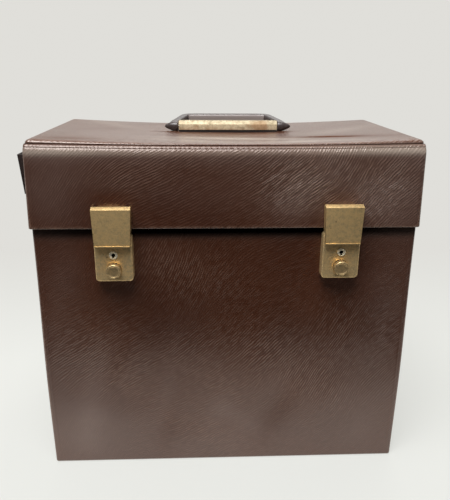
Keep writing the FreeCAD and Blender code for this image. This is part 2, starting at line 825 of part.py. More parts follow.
def bridge_block(inset, z0):
    """The bridge's outside, a flat top with a slope to each side, drawn in by an inset, from a height up."""
    half = bridge_length / 2 - inset
    side = bridge_depth / 2 - inset
    top_z = bridge_top_z - inset
    slope = bridge_slope - inset / 2
    y0 = handle_centre_y - side
    y1 = handle_centre_y + side
    outline = [(y0, z0), (y1, z0), (y1, top_z - slope), (y1 - slope, top_z), (y0 + slope, top_z),
               (y0, top_z - slope)]
    return prism_along_x(outline, handle_centre_x - half, handle_centre_x + half)


def make_bridge():
    bottom_z = bridge_bottom_z()
    block = bridge_block(0, bottom_z)
    upper_edges = [edge for edge in edges_along(block, X_AXIS) if edge.BoundBox.ZMin > bottom_z + tiny]
    block = block.makeFillet(bridge_edge_radius, upper_edges)
    return block.cut(bridge_block(bridge_wall, bottom_z - cut_over)).cut(make_handle_rod())


def rod_through_handle(reach, radius):
    return rod_x(handle_centre_x - reach, handle_centre_x + reach, handle_centre_y, handle_axis_z, radius)


def make_handle_rod():
    return rod_through_handle(bridge_length / 2 + handle_rod_reach, handle_rod_radius)


def handle_rivet_places():
    side = bridge_length / 2 - handle_rivet_inset
    return [(handle_centre_x + sign * side, handle_centre_y) for sign in (-1, 1)]


def backing_plate_bottom():
    return lid_ceiling_z - lining_thickness - backing_plate_thickness


def handle_rivet_drills():
    z0 = backing_plate_bottom() - cut_over
    z1 = bridge_bottom_z() + cut_over
    return [rod_z(x, y, z0, z1, handle_rivet_radius) for x, y in handle_rivet_places()]


def make_handle_strip():
    half = bridge_length / 2 - handle_strip_inset
    side = bridge_depth / 2 - handle_strip_inset
    return box(handle_centre_x - half, handle_centre_x + half, handle_centre_y - side, handle_centre_y + side,
               handle_seat_z(), bridge_bottom_z())


def make_handle_rivets():
    rivets = []
    head_z = bridge_bottom_z()
    tail_z = backing_plate_bottom()
    for x, y in handle_rivet_places():
        head = rod_z(x, y, head_z, head_z + handle_rivet_head_height, handle_rivet_head_radius)
        tail = rod_z(x, y, tail_z - handle_rivet_head_height, tail_z, handle_rivet_head_radius)
        rivets.append(joined([head, rod_z(x, y, tail_z, head_z, handle_rivet_radius), tail]))
    return rivets


def make_backing_plate():
    half = bridge_length / 2
    side = backing_plate_width / 2
    z0 = backing_plate_bottom()
    return box(handle_centre_x - half, handle_centre_x + half, handle_centre_y - side, handle_centre_y + side,
               z0, z0 + backing_plate_thickness)


def make_handle_side(sign):
    """One knuckle and the arm that runs from it to the grip."""
    x0 = handle_centre_x + sign * knuckle_inner_x
    x1 = x0 + sign * knuckle_length
    y = handle_centre_y
    knuckle = rod_x(min(x0, x1), max(x0, x1), y, handle_axis_z, knuckle_radius)
    nose = [edge for edge in knuckle.Edges
            if max(abs(edge.BoundBox.XMin - x1), abs(edge.BoundBox.XMax - x1)) < tiny]
    knuckle = knuckle.makeFillet(knuckle_nose_radius, nose)
    root_inner = x0 + sign * arm_root_inset
    root_outer = root_inner + sign * arm_width
    end_outer = handle_centre_x + sign * grip_length / 2
    end_inner = end_outer - sign * arm_width
    plan = [(root_inner, y), (root_outer, y), (end_outer, y + grip_reach), (end_inner, y + grip_reach)]
    half = arm_thickness / 2
    profile = [(y, handle_axis_z - half), (y + grip_reach, grip_bottom_z + arm_end_inset),
               (y + grip_reach, grip_top_z - arm_end_inset), (y, handle_axis_z + half)]
    arm = prism_along_z(plan, grip_bottom_z - cut_over, grip_top_z + cut_over)
    arm = arm.common(prism_along_x(profile, handle_centre_x - bridge_length, handle_centre_x + bridge_length))
    long_edges = [edge for edge in arm.Edges if edge.Length > grip_reach / 2]
    return knuckle.fuse(arm.makeFillet(arm_edge_radius, long_edges))


def make_handle():
    y0 = handle_centre_y + grip_reach - grip_depth / 2
    half = grip_length / 2
    grip = box(handle_centre_x - half, handle_centre_x + half, y0, y0 + grip_depth, grip_bottom_z, grip_top_z)
    grip = rounded(grip, grip_edge_radius, X_AXIS)
    handle = joined([make_handle_side(-1), make_handle_side(1), grip])
    reach = bridge_length / 2 + handle_rod_reach + handle_bore_gap
    return handle.cut(rod_through_handle(reach, handle_rod_radius + handle_rod_clearance))


# Label pocket

def lid_left_x(z):
    return -lid_half_width(z)


def make_pocket():
    z0 = pocket_bottom_z
    z1 = pocket_top_z
    y0 = lid_front_y + pocket_front_inset
    outline = [(lid_left_x(z0), z0), (lid_left_x(z0) - pocket_foot, z0),
               (lid_left_x(z1) - pocket_mouth, z1), (lid_left_x(z1), z1)]
    block = prism_along_y(outline, y0, y0 + pocket_length)
    floor_z = z0 + pocket_sheet
    mouth_z = z1 + cut_over
    hollow = [(lid_left_x(floor_z) - pocket_back_sheet, floor_z),
              (lid_left_x(z1) - pocket_mouth + pocket_sheet, z1),
              (lid_left_x(z1) - pocket_mouth + pocket_sheet, mouth_z),
              (lid_left_x(mouth_z) - pocket_back_sheet, mouth_z)]
    return block.cut(prism_along_y(hollow, y0 + pocket_sheet, y0 + pocket_length - pocket_sheet))


def make_card():
    z0 = pocket_bottom_z + (pocket_top_z - pocket_bottom_z) * card_bottom_share
    z1 = pocket_top_z + card_stand_out
    inner = pocket_back_sheet + card_back_gap
    outline = [(lid_left_x(z0) - inner, z0), (lid_left_x(z0) - inner - card_thickness, z0),
               (lid_left_x(z1) - inner - card_thickness, z1), (lid_left_x(z1) - inner, z1)]
    y0 = lid_front_y + pocket_front_inset + pocket_sheet + card_side_gap
    y1 = lid_front_y + pocket_front_inset + pocket_length - pocket_sheet - card_side_gap
    return prism_along_y(outline, y0, y1)


# All pieces by name

def build_body():
    drills = []
    screws = []
    posts = []
    for side, x, rise in LATCHES:
        z = lock_bottom_z + rise
        drills += lock_screw_drills(x, z)
        nodes["lock_case_" + side] = make_lock_case(x, z)
        nodes["lock_plate_" + side] = make_lock_plate(x, z).cut(group(lock_screw_drills(x, z)))
        nodes["key_plate_" + side] = make_key_plate(x, z)
        nodes["catch_spring_" + side] = make_catch_spring(x, z)
        screws += make_lock_screws(x, z)
        posts.append(make_key_post(x, z))
    rivets = []
    pins = []
    back_drills = []
    for side, x in HINGES:
        back_drills += hinge_rivet_drills(x, -1)
        nodes["hinge_body_leaf_" + side] = make_hinge_body_leaf(x).cut(group(hinge_rivet_drills(x, -1)))
        rivets += make_hinge_rivets(x, -1)
        pins.append(make_hinge_pin(x))
    nodes["lock_screws"] = group(screws)
    nodes["key_posts"] = group(posts)
    nodes["hinge_body_rivets"] = group(rivets)
    nodes["hinge_pins"] = group(pins)
    boards = make_body_boards()
    boards["front"] = boards["front"].cut(group(drills))
    boards["back"] = boards["back"].cut(group(back_drills))
    for name, board in boards.items():
        nodes["body_" + name + "_board"] = board
    for name, lip in make_lips().items():
        nodes["lip_" + name] = lip
    nodes["body_covering"] = make_body_covering().cut(group(drills + back_drills))
    nodes["body_bottom_sheet"] = make_body_bottom_sheet()
    nodes["body_lining"] = make_body_lining()


def build_locks():
    for side, x, rise in LATCHES:
        z = lock_bottom_z + rise
        nodes["button_" + side] = make_button(x, z)
        nodes["catch_" + side] = make_catch(x, z)
        nodes["lock_slide_" + side] = make_lock_slide(x, z)


def build_lid():
    front_drills = []
    back_drills = []
    hasp_rivets = []
    hinge_rivets = []
    pins = []
    for side, x, rise in LATCHES:
        front_drills += hasp_rivet_drills(x, rise)
        nodes["hasp_plate_" + side] = make_hasp_plate(x, rise).cut(group(hasp_rivet_drills(x, rise)))
        hasp_rivets += make_hasp_rivets(x, rise)
        pins.append(make_hasp_pin(x, rise))
    for side, x in HINGES:
        back_drills += hinge_rivet_drills(x, 1)
        nodes["hinge_lid_leaf_" + side] = make_hinge_lid_leaf(x).cut(group(hinge_rivet_drills(x, 1)))
        hinge_rivets += make_hinge_rivets(x, 1)
    nodes["hasp_rivets"] = group(hasp_rivets)
    nodes["hasp_pins"] = group(pins)
    nodes["hinge_lid_rivets"] = group(hinge_rivets)
    top_drills = group(handle_rivet_drills())
    boards = make_lid_boards()
    boards["front"] = boards["front"].cut(group(front_drills))
    boards["back"] = boards["back"].cut(group(back_drills))
    boards["top"] = boards["top"].cut(top_drills)
    for name, board in boards.items():
        nodes["lid_" + name + "_board"] = board
    wall_covering, top_covering = make_lid_coverings()
    nodes["lid_wall_covering"] = wall_covering.cut(group(front_drills + back_drills))
    nodes["lid_top_covering"] = top_covering.cut(top_drills)
    nodes["lid_lining"] = make_lid_lining().cut(top_drills)
    nodes["handle_bridge"] = make_bridge()
    nodes["handle_strip"] = make_handle_strip().cut(top_drills)
    nodes["handle_rod"] = make_handle_rod()
    nodes["handle_rivets"] = group(make_handle_rivets())
    nodes["handle_backing_plate"] = make_backing_plate().cut(top_drills)
    nodes["label_pocket"] = make_pocket()
    nodes["label_card"] = make_card()


def build_hasps_and_handle():
    for side, x, rise in LATCHES:
        nodes["hasp_" + side] = make_hasp(x, rise)
        nodes["hasp_hook_" + side] = make_hook(x, rise)
    nodes["handle"] = make_handle()


build_body()
build_locks()
build_lid()
build_hasps_and_handle()

os.makedirs("parts", exist_ok=True)
for name, shape in nodes.items():
    shape.exportStep("parts/" + name + ".step")
    print(name, len(shape.Solids), round(shape.Volume, 1))
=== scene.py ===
import math

import bmesh
import bpy
from mathutils import Matrix, Vector, noise


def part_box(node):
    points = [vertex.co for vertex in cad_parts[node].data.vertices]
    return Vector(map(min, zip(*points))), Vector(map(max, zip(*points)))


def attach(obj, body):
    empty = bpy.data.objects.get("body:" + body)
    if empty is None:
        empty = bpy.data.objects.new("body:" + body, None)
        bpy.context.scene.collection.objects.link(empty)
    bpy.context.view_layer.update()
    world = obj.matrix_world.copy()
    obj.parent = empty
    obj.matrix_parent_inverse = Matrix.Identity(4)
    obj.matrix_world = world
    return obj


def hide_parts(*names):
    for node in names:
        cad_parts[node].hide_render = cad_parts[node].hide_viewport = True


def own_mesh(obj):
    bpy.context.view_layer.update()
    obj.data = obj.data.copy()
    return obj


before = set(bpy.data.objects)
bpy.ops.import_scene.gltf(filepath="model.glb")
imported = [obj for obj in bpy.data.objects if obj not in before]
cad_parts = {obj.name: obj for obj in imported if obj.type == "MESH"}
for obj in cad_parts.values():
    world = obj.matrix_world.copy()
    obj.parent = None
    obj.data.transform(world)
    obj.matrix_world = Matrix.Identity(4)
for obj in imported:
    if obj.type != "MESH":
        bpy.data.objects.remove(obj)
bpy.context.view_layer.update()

MM = 0.001

# Camera, found from the photograph's edges: turns in degrees, place and lens in millimetres

CAMERA_YAW, CAMERA_PITCH, CAMERA_ROLL = 2.5316, 18.5110, -0.3751
CAMERA_PLACE = (-23.15, -587.28, 396.62)
CAMERA_LENS, CAMERA_SENSOR = 40.06, 36.0

# Sizes of the body and the lid, in millimetres, as in the solids

BODY_HALF = 176.5
FRONT = -98.0
BACK = 98.0
BODY_LOW = 0.5
BODY_TOP = 254.1
LID_FRONT = -102.1
LID_BOTTOM = 254.5
LID_TOP = 334.3
LID_HALF_LOW = 178.4
LID_HALF_HIGH = 176.3
WALL = 7.0
EDGE = 2.5

# The dressed lid's top sags a little more towards the back, and its seam less than the top itself

DISH_FRONT = 330.3
DISH_BACK = 328.9
SEAM_FRONT = 328.7
SEAM_BACK = 327.2
SEAM_END = 330.5

# The lid's lower edge, and its soft top edge by inset and rise from where its roll starts below the seam. The
# sides have a share of that roll. The top's rim reaches past the lid's upper width. The boards are planed off

LID_EDGE = 1.1
ROLL_DEPTH = 8.5
ROLL_OVER = [(0.06, 1.0), (0.22, 2.0), (0.5, 3.0), (0.92, 4.0), (1.5, 5.0), (1.85, 5.45), (2.15, 5.7),
             (2.05, 5.95), (2.2, 6.4), (2.65, 7.0), (3.3, 7.6), (4.1, 8.1), (4.9, 8.35), (6.6, 8.1)]
SIDE_ROLL = 0.15
RIM_OUT = 4.0
RIM_INSET = 4.7
RIM_ROLL = 6.0
# Painted shade in the groove at the seam
SEAM_SHADE = 0.2
PLANED = 5.9

# The body's rounded upper edge and the bulge of its sides

BODY_ROLL = 1.6
BULGE = 1.4
BULGE_AT, BULGE_REACH = 100, 85

# How far any wall swells, in slow waves too, and the crease beside its upright edges

SWELL_SIDE, SWELL_FRONT, SWELL_WAVE = 0.6, 0.3, 0.22
CREASE, CREASE_AT, CREASE_WIDTH = 0.28, 2.2, 0.7

# Painted shade on the body under the lid's overhang, which is weaker towards the front's ends and on the
# other walls

SHADE_DEPTH = 11.5
SHADE_FADE = 5.5
SHADE_END, SHADE_RUN, SHADE_LESS = 110, 66, 0.3
SHADE_OTHER_WALLS = 0.6

# Steps along the walls' outline, with the places near its corners, and the strip that counts as the front

STEPS_WIDE, STEPS_DEEP, STEPS_CORNER = 56, 34, 5
CROWD = [0.6, 1.2, 1.8, 2.4, 3.2, 4.2, 6.0, 9.0]
FRONT_STRIP = 1.5
CORNER_STRIP = 0.9

# Soft marks on the front as x and z, in millimetres: centre, half sizes, tilt in degrees and amount

# Painted sheen: reflection and highlight painted into the colour of the front
PAINTED_SHEEN_MARKS = [(-163, 140, 26, 75, 0, 0.16), (-150, 205, 16, 45, -15, 0.10), (160, 180, 28, 75, 0, 0.22),
        (-135, 68, 55, 14, 80, 0.24), (-8, 58, 26, 10, 60, 0.14), (145, 42, 32, 18, 60, 0.12),
        (-60, 222, 22, 14, 0, 0.06), (70, 118, 60, 24, 70, 0.05), (80, 298, 17, 34, -42, 0.26),
        (128, 284, 24, 24, -35, 0.30), (164, 292, 28, 46, 0, 0.42), (-60, 76, 45, 8, 80, 0.14),
        (10, 53, 10, 34, 53, 0.16), (52, 276, 18, 20, -20, 0.16), (-160, 290, 26, 46, 0, 0.24),
        (0, 320, 240, 8, 0, 0.32), (0, 298, 260, 30, 0, 0.15), (0, 12, 260, 40, 0, 0.12),
        (-145, 36, 52, 44, 0, 0.25)]
# Glints: a painted highlight on the strokes, which also stand higher there
GLINT = [(80, 298, 26, 34, -42, 1.0), (125, 288, 30, 26, -35, 0.7), (150, 290, 26, 34, -35, 0.6),
         (20, 316, 170, 9, 0, 0.15), (45, 296, 26, 26, -30, 0.5), (-95, 302, 46, 16, 0, 0.3),
         (70, 92, 60, 36, -40, 0.45), (-110, 105, 50, 30, -40, 0.4), (-10, 92, 50, 26, -30, 0.4),
         (-45, 215, 50, 22, -20, 0.35), (120, 130, 40, 40, -40, 0.2), (-30, 40, 60, 24, -30, 0.35)]
DIM = [(62, 66, 48, 14, 60, 0.38), (-105, 122, 36, 10, 65, 0.35), (-60, 40, 30, 10, 80, 0.2),
       (100, 80, 30, 12, 60, 0.2), (-45, 36, 30, 14, 0, 0.2), (-104, 283, 24, 7, 0, 0.9),
       (104, 284, 24, 7, 0, 0.9), (0, 324, 400, 7, 0, 0.65)]
# Painted highlight along the lid's rolled top edge
PAINTED_EDGE_HIGHLIGHT = [(-165, 323.6, 75, 3.4, 0, 0.32), (170, 324.8, 80, 3.8, 0, 0.38), (0, 323.0, 110, 2.6, 0, 0.12)]

# Soft marks on the lid's top as x and y, given in the same way

TOP_PALE_PATCHES = [(8, -58, 62, 8, -7, 0.40), (-34, -76, 36, 7, -12, 0.24), (70, -84, 40, 6, 4, 0.26),
             (-120, 52, 60, 10, -50, 0.10), (118, -8, 60, 12, 40, 0.10), (40, -86, 120, 6, 0, 0.08)]
TOP_DIM = [(100, -56, 80, 14, -4, 0.78), (-140, -80, 44, 12, 0, 0.62), (-20, -30, 70, 12, 6, 0.40),
           (-60, 70, 60, 14, 20, 0.45), (-110, 10, 40, 16, 15, 0.35)]

# The handle, in millimetres: its knuckles by radius and depth, and an arm, from the knuckle to the middle of
# the grip, by place and half sizes

HANDLE_CENTRE = 4.9
HANDLE_AXIS = 335.3
KNUCKLE_START = 51.05
KNUCKLE = [(0.0, 0.0), (4.2, 0.0), (4.65, 0.4), (4.85, 1.2), (4.8, 4.4), (4.3, 7.0), (3.4, 9.5), (2.3, 12.0),
           (1.5, 13.3), (0.8, 13.9), (0.0, 14.1)]
ARM = [(56.4, -1.0, 0.0, 3.2, 3.3), (56.6, 2.5, 0.1, 3.8, 4.0), (54.6, 11.0, 0.7, 4.1, 4.5),
       (51.0, 23.0, 1.4, 4.1, 5.1), (47.8, 34.0, 2.0, 4.3, 5.7), (43.9, 41.8, 2.4, 4.9, 6.3),
       (36.0, 44.0, 2.5, 5.7, 6.5), (20.0, 44.0, 2.5, 5.9, 6.55), (0.0, 44.0, 2.5, 5.9, 6.55)]
ARM_SQUARENESS = 0.45

# A push button by radius and depth, behind its own front and then behind its seat

BUTTON_CAP = [(0.001, 0.75), (2.5, 0.72), (4.2, 0.62), (4.9, 0.45), (5.3, 0.12), (5.7, 0.0), (6.1, 0.02),
              (6.5, 0.25), (6.75, 0.65), (6.8, 1.2), (6.8, 3.4), (6.5, 3.7)]
BUTTON_STEM = [(6.5, 0.0), (7.6, 0.0), (7.6, 1.0), (2.5, 1.0), (2.5, 4.2), (0.001, 4.2)]
BUTTON_SEAT = -106.6

# The covering's fine strokes, in metres and degrees, and its gloss

STROKE_PERIOD = 0.0022
STROKE_WANDER = 10.0
STROKE_ANGLES = (-38, -55)
STROKE_HEIGHT = 0.00026
SWIRL = 0.05
GLOSS = 0.95

# Colours of the covering: deep, worn, pale and painted sheen, then pale patches and painted edge highlight,
# small pale flecks and painted shade

COVERING = ((0.043, 0.0085, 0.0015), (0.063, 0.016, 0.0045), (0.26, 0.155, 0.11), (0.21, 0.15, 0.13))
PALE_PATCH_COLOUR = (0.62, 0.55, 0.46)
FLECK = (0.30, 0.24, 0.20)
PAINTED_SHADE_COLOUR = (0.002, 0.001, 0.0008)
SHEEN = (1.0, 0.88, 0.82)

# Metals: bright, dull and spot colours and roughness, then tarnish, blotch scale, metallic and a darker
# colour painted on upper faces as shade, where they differ from the usual

SPOT = (0.10, 0.055, 0.03)
STAIN = (0.50, 0.25, 0.10)
METALS = {
    "latch_brass": ((0.86, 0.61, 0.285), (0.50, 0.37, 0.19), SPOT, 0.46, 0.45, 300.0),
    "lock_brass": ((0.98, 0.71, 0.35), (0.60, 0.46, 0.26), SPOT, 0.46, 0.45, 300.0),
    "button_brass": ((0.80, 0.58, 0.29), (0.36, 0.26, 0.14), SPOT, 0.40, 0.46, 400.0),
    "key_brass": ((1.0, 0.92, 0.72), (0.66, 0.57, 0.39), (0.08, 0.05, 0.03), 0.40, 0.42, 420.0, 0.5),
    # The bar's upper faces take a darker colour: painted shade
    "handle_brass": ((0.98, 0.84, 0.58), (0.52, 0.42, 0.26), (0.34, 0.15, 0.05), 0.60, 0.42, 240.0, 0.45,
                     (0.155, 0.13, 0.085)),
    # Near black, so that the keyhole shows painted shade
    "lock_works": ((0.05, 0.045, 0.04), (0.03, 0.027, 0.024), (0.02, 0.015, 0.01), 0.5),
    "steel": ((0.56, 0.55, 0.53), (0.30, 0.29, 0.27), (0.12, 0.09, 0.07), 0.35),
    "rivet_steel": ((0.62, 0.60, 0.55), (0.34, 0.31, 0.26), (0.12, 0.08, 0.05), 0.35),
    "hinge_brass": ((0.66, 0.50, 0.26), (0.32, 0.25, 0.14), (0.10, 0.06, 0.03), 0.36),
}

# Matt materials: two colours, scale of the fibre, roughness and height of the fleck

MATTS = {
    "strip_plastic": ((0.008, 0.006, 0.006), (0.03, 0.025, 0.024), 300.0, 0.6, 0.0001),
    "board": ((0.20, 0.145, 0.09), (0.30, 0.225, 0.145), 90.0, 0.8, 0.0002),
    "underside": ((0.020, 0.016, 0.014), (0.045, 0.036, 0.030), 160.0, 0.75, 0.0002),
    "lining": ((0.085, 0.05, 0.034), (0.125, 0.078, 0.055), 240.0, 0.85, 0.00025),
    "pocket_vinyl": ((0.012, 0.007, 0.006), (0.030, 0.020, 0.017), 500.0, 0.42, 0.0002),
    "card": ((0.66, 0.60, 0.48), (0.76, 0.71, 0.60), 120.0, 0.85, 0.0001),
}

# Nodes that keep their own shape, by material

PAINTED = {
    "underside": ["body_bottom_sheet"],
    "lining": ["body_lining", "lid_lining", "lip_front", "lip_back", "lip_left", "lip_right"],
    "card": ["label_card"],
    "rivet_steel": ["hinge_body_rivets", "hinge_lid_rivets", "hasp_rivets", "handle_rivets", "lock_screws"],
    "strip_plastic": ["handle_strip"],
    "steel": ["handle_rod", "handle_backing_plate", "hinge_pins", "hasp_pins", "catch_left", "catch_right",
              "hasp_hook_left", "hasp_hook_right"],
    # Parts seen through the keyhole are near black: painted shade
    "lock_works": ["key_posts", "lock_slide_left", "lock_slide_right", "lock_plate_left", "lock_plate_right"],
}

# The table in metres, and the colours of the table and the room

TABLE_FRONT = -0.275
TABLE_BACK = 6.0
TABLE_SIDE = 6.0
TABLE_SPECKLE = ((0.74, 0.745, 0.72), (0.78, 0.785, 0.76))
TABLE_NEAR = (0.74, 0.75, 0.712)
WALL_COLOUR = (0.745, 0.735, 0.70)
ROOM_BEHIND = (0.72, 0.69, 0.64)
ROOM_FRONT = (0.15, 0.145, 0.14)
ROOM_FLOOR = (0.030, 0.024, 0.020)


# Camera

def make_camera():
    yaw, pitch, roll = [math.radians(angle) for angle in (CAMERA_YAW, CAMERA_PITCH, CAMERA_ROLL)]
    ahead = Vector((math.sin(yaw) * math.cos(pitch), math.cos(yaw) * math.cos(pitch), -math.sin(pitch)))
    right = Vector((math.cos(yaw), -math.sin(yaw), 0))
    down = ahead.cross(right)
    turned = math.cos(roll) * right + math.sin(roll) * down
    lower = -math.sin(roll) * right + math.cos(roll) * down
    data = bpy.data.cameras.new("camera")
    data.lens = CAMERA_LENS
    data.sensor_width = CAMERA_SENSOR
    data.clip_end = 20
    camera = bpy.data.objects.new("camera", data)
    bpy.context.scene.collection.objects.link(camera)
    turn = Matrix((turned, -lower, -ahead)).transposed().to_4x4()
    turn.translation = Vector(CAMERA_PLACE) * MM
    camera.matrix_world = turn
    bpy.context.scene.camera = camera


# Shader helpers. A value may be a number, a vector, a colour or another node's output

def put(tree, kind, inputs=None, **settings):
    made = tree.nodes.new("ShaderNode" + kind)
    for key, value in settings.items():
        setattr(made, key, value)
    for key, value in (inputs or {}).items():
        if isinstance(value, bpy.types.NodeSocket):
            tree.links.new(value, made.inputs[key])
        else:
            made.inputs[key].default_value = value
    return made


def new_material(name):
    material = bpy.data.materials.new(name)
    material.use_nodes = True
    tree = material.node_tree
    return material, tree, tree.nodes["Principled BSDF"]


def link(tree, socket, target):
    tree.links.new(socket, target)


def settle(shader, **values):
    for key, value in values.items():
        socket = shader.inputs[key.replace("_", " ")]
        socket.default_value = (*value, 1) if isinstance(value, tuple) else value


def maths(tree, operation, *values, **settings):
    return put(tree, "Math", dict(enumerate(values)), operation=operation, **settings).outputs[0]


def vectors(tree, operation, first, second):
    return put(tree, "VectorMath", {0: first, 1: second}, operation=operation).outputs[0]


def axis_of(tree, vector, axis):
    return put(tree, "SeparateXYZ", {0: vector}).outputs[axis]


def noise_of(tree, vector, scale, detail=2.0, roughness=0.5, output=0):
    inputs = {"Vector": vector, "Scale": scale, "Detail": detail, "Roughness": roughness}
    return put(tree, "TexNoise", inputs).outputs[output]


def ramp(tree, factor, *stops):
    """A grey ramp with two stops, each a place and a value."""
    made = put(tree, "ValToRGB", {"Fac": factor})
    for element, (place, value) in zip(made.color_ramp.elements, stops):
        element.position = place
        element.color = (value, value, value, 1)
    return made.outputs["Color"]


def spots(tree, vector, scale, inner, outer):
    """Small round spots, one to a cell, that fade from an inner to an outer distance."""
    cells = put(tree, "TexVoronoi", {"Vector": vector, "Scale": scale, "Randomness": 1.0})
    return ramp(tree, cells.outputs["Distance"], inner, outer)


def mix(tree, factor, first, second):
    made = put(tree, "Mix", data_type="RGBA")
    for number, value in ((0, factor), (6, first), (7, second)):
        if isinstance(value, bpy.types.NodeSocket):
            tree.links.new(value, made.inputs[number])
        else:
            made.inputs[number].default_value = (*value, 1)
    return made.outputs[2]


def bump(tree, height, distance, strength, normal=None):
    inputs = {"Height": height, "Distance": distance, "Strength": strength}
    if normal is not None:
        inputs["Normal"] = normal
    return put(tree, "Bump", inputs).outputs[0]


def attribute(tree, name):
    return put(tree, "Attribute", attribute_name=name, attribute_type="GEOMETRY").outputs["Fac"]


# Materials

def hatch(tree, place, angle):
    """Fine broken strokes along one direction, about as regular as an embossing roller leaves them."""
    turned = put(tree, "VectorRotate", {"Vector": place, "Angle": math.radians(angle)}).outputs[0]
    shift = noise_of(tree, vectors(tree, "MULTIPLY", turned, (45, 110, 1)), 1.0)
    wander = maths(tree, "MULTIPLY", shift, STROKE_WANDER)
    phase = maths(tree, "MULTIPLY_ADD", axis_of(tree, turned, "Y"), 2 * math.pi / STROKE_PERIOD, wander)
    stripes = maths(tree, "MULTIPLY_ADD", maths(tree, "SINE", phase), 0.5, 0.5)
    broken = noise_of(tree, vectors(tree, "MULTIPLY", turned, (130, 300, 1)), 1.0)
    return maths(tree, "MULTIPLY", stripes, ramp(tree, broken, (0.34, 0.2), (0.60, 1.0)))


def leather(name, deep, worn, pale, painted_sheen):
    """Glossy grained vinyl: fine strokes that fan out with painted glints, painted sheen, rubbed edges with a
    painted highlight, pale patches and painted shade under the lid.
    """
    material, tree, shader = new_material(name)
    place = put(tree, "UVMap", uv_map="skin").outputs[0]
    glint = attribute(tree, "glint")
    painted_shade = attribute(tree, "painted_shade")
    slow = noise_of(tree, place, 7.0, 1.0)
    pore = noise_of(tree, place, 900.0, 1.0)

    # Strokes of two directions, which blend slowly
    swirl = vectors(tree, "SUBTRACT", noise_of(tree, place, 6.0, 1.0, output="Color"), (0.5, 0.5, 0.5))
    warped = vectors(tree, "ADD", place, vectors(tree, "MULTIPLY", swirl, (SWIRL, SWIRL, 0.0)))
    first, second = [hatch(tree, warped, angle) for angle in STROKE_ANGLES]
    strokes = mix(tree, ramp(tree, slow, (0.5, 0.0), (0.6, 1.0)), first, second)

    # Colour, from the dye up to the painted shade
    cloud = ramp(tree, noise_of(tree, place, 9.0, 3.0), (0.35, 0.0), (0.7, 1.0))
    colour = mix(tree, cloud, deep, worn)
    # Pale on the strokes: a painted highlight, strongest where the glints are
    lit = maths(tree, "MULTIPLY", strokes, maths(tree, "MULTIPLY_ADD", glint, 0.95, 0.12))
    colour = mix(tree, lit, colour, pale)
    patchy = noise_of(tree, vectors(tree, "MULTIPLY", warped, (14.0, 22.0, 1.0)), 1.0, 4.0, 0.6)
    patchy = ramp(tree, patchy, (0.3, 0.55), (0.7, 1.0))
    # Painted sheen in patches: reflection and highlight painted into the colour
    colour = mix(tree, maths(tree, "MULTIPLY", attribute(tree, "painted_sheen"), patchy), colour, painted_sheen)
    scuff = ramp(tree, noise_of(tree, place, 260.0, 4.0, 0.65), (0.40, 0.0), (0.58, 1.0))
    # Rubbed edges, partly wear and partly a painted highlight
    rubbed = maths(tree, "MULTIPLY", maths(tree, "MULTIPLY_ADD", scuff, 0.5, 0.1), attribute(tree, "wear_and_edge_highlight"))
    colour = mix(tree, rubbed, colour, pale)
    # Pale patches on the top, and a painted highlight along the lid's rolled top edge
    colour = mix(tree, attribute(tree, "pale_patch_and_highlight"), colour, PALE_PATCH_COLOUR)
    colour = mix(tree, spots(tree, place, 34.0, (0.012, 0.8), (0.022, 0.0)), colour, FLECK)
    # Painted shade under the lid's overhang and in the seam's groove
    link(tree, mix(tree, painted_shade, colour, PAINTED_SHADE_COLOUR), shader.inputs["Base Color"])

    # Roughness and gloss: the painted shade is rougher and loses its gloss
    rough = maths(tree, "MULTIPLY_ADD", patchy, 0.08, 0.21)
    rough = maths(tree, "MULTIPLY_ADD", painted_shade, 0.3, rough)
    link(tree, maths(tree, "MULTIPLY_ADD", pore, 0.06, rough), shader.inputs["Roughness"])
    dulled = maths(tree, "ADD", painted_shade, attribute(tree, "dim"), use_clamp=True)
    shine = maths(tree, "SUBTRACT", 1.0, dulled)
    link(tree, maths(tree, "MULTIPLY", shine, GLOSS), shader.inputs["Specular IOR Level"])

    # Dents, waves, strokes and pores
    normal = bump(tree, slow, 0.010, 0.6)
    normal = bump(tree, noise_of(tree, place, 16.0, 1.0), 0.0009, 0.6, normal)
    height = maths(tree, "MULTIPLY", strokes, maths(tree, "MULTIPLY_ADD", glint, 1.5, 0.45))
    normal = bump(tree, height, STROKE_HEIGHT, 1.0, normal)
    link(tree, bump(tree, pore, 0.00005, 0.6, normal), shader.inputs["Normal"])
    settle(shader, IOR=1.6, Specular_Tint=SHEEN, Specular_IOR_Level=GLOSS)
    return material


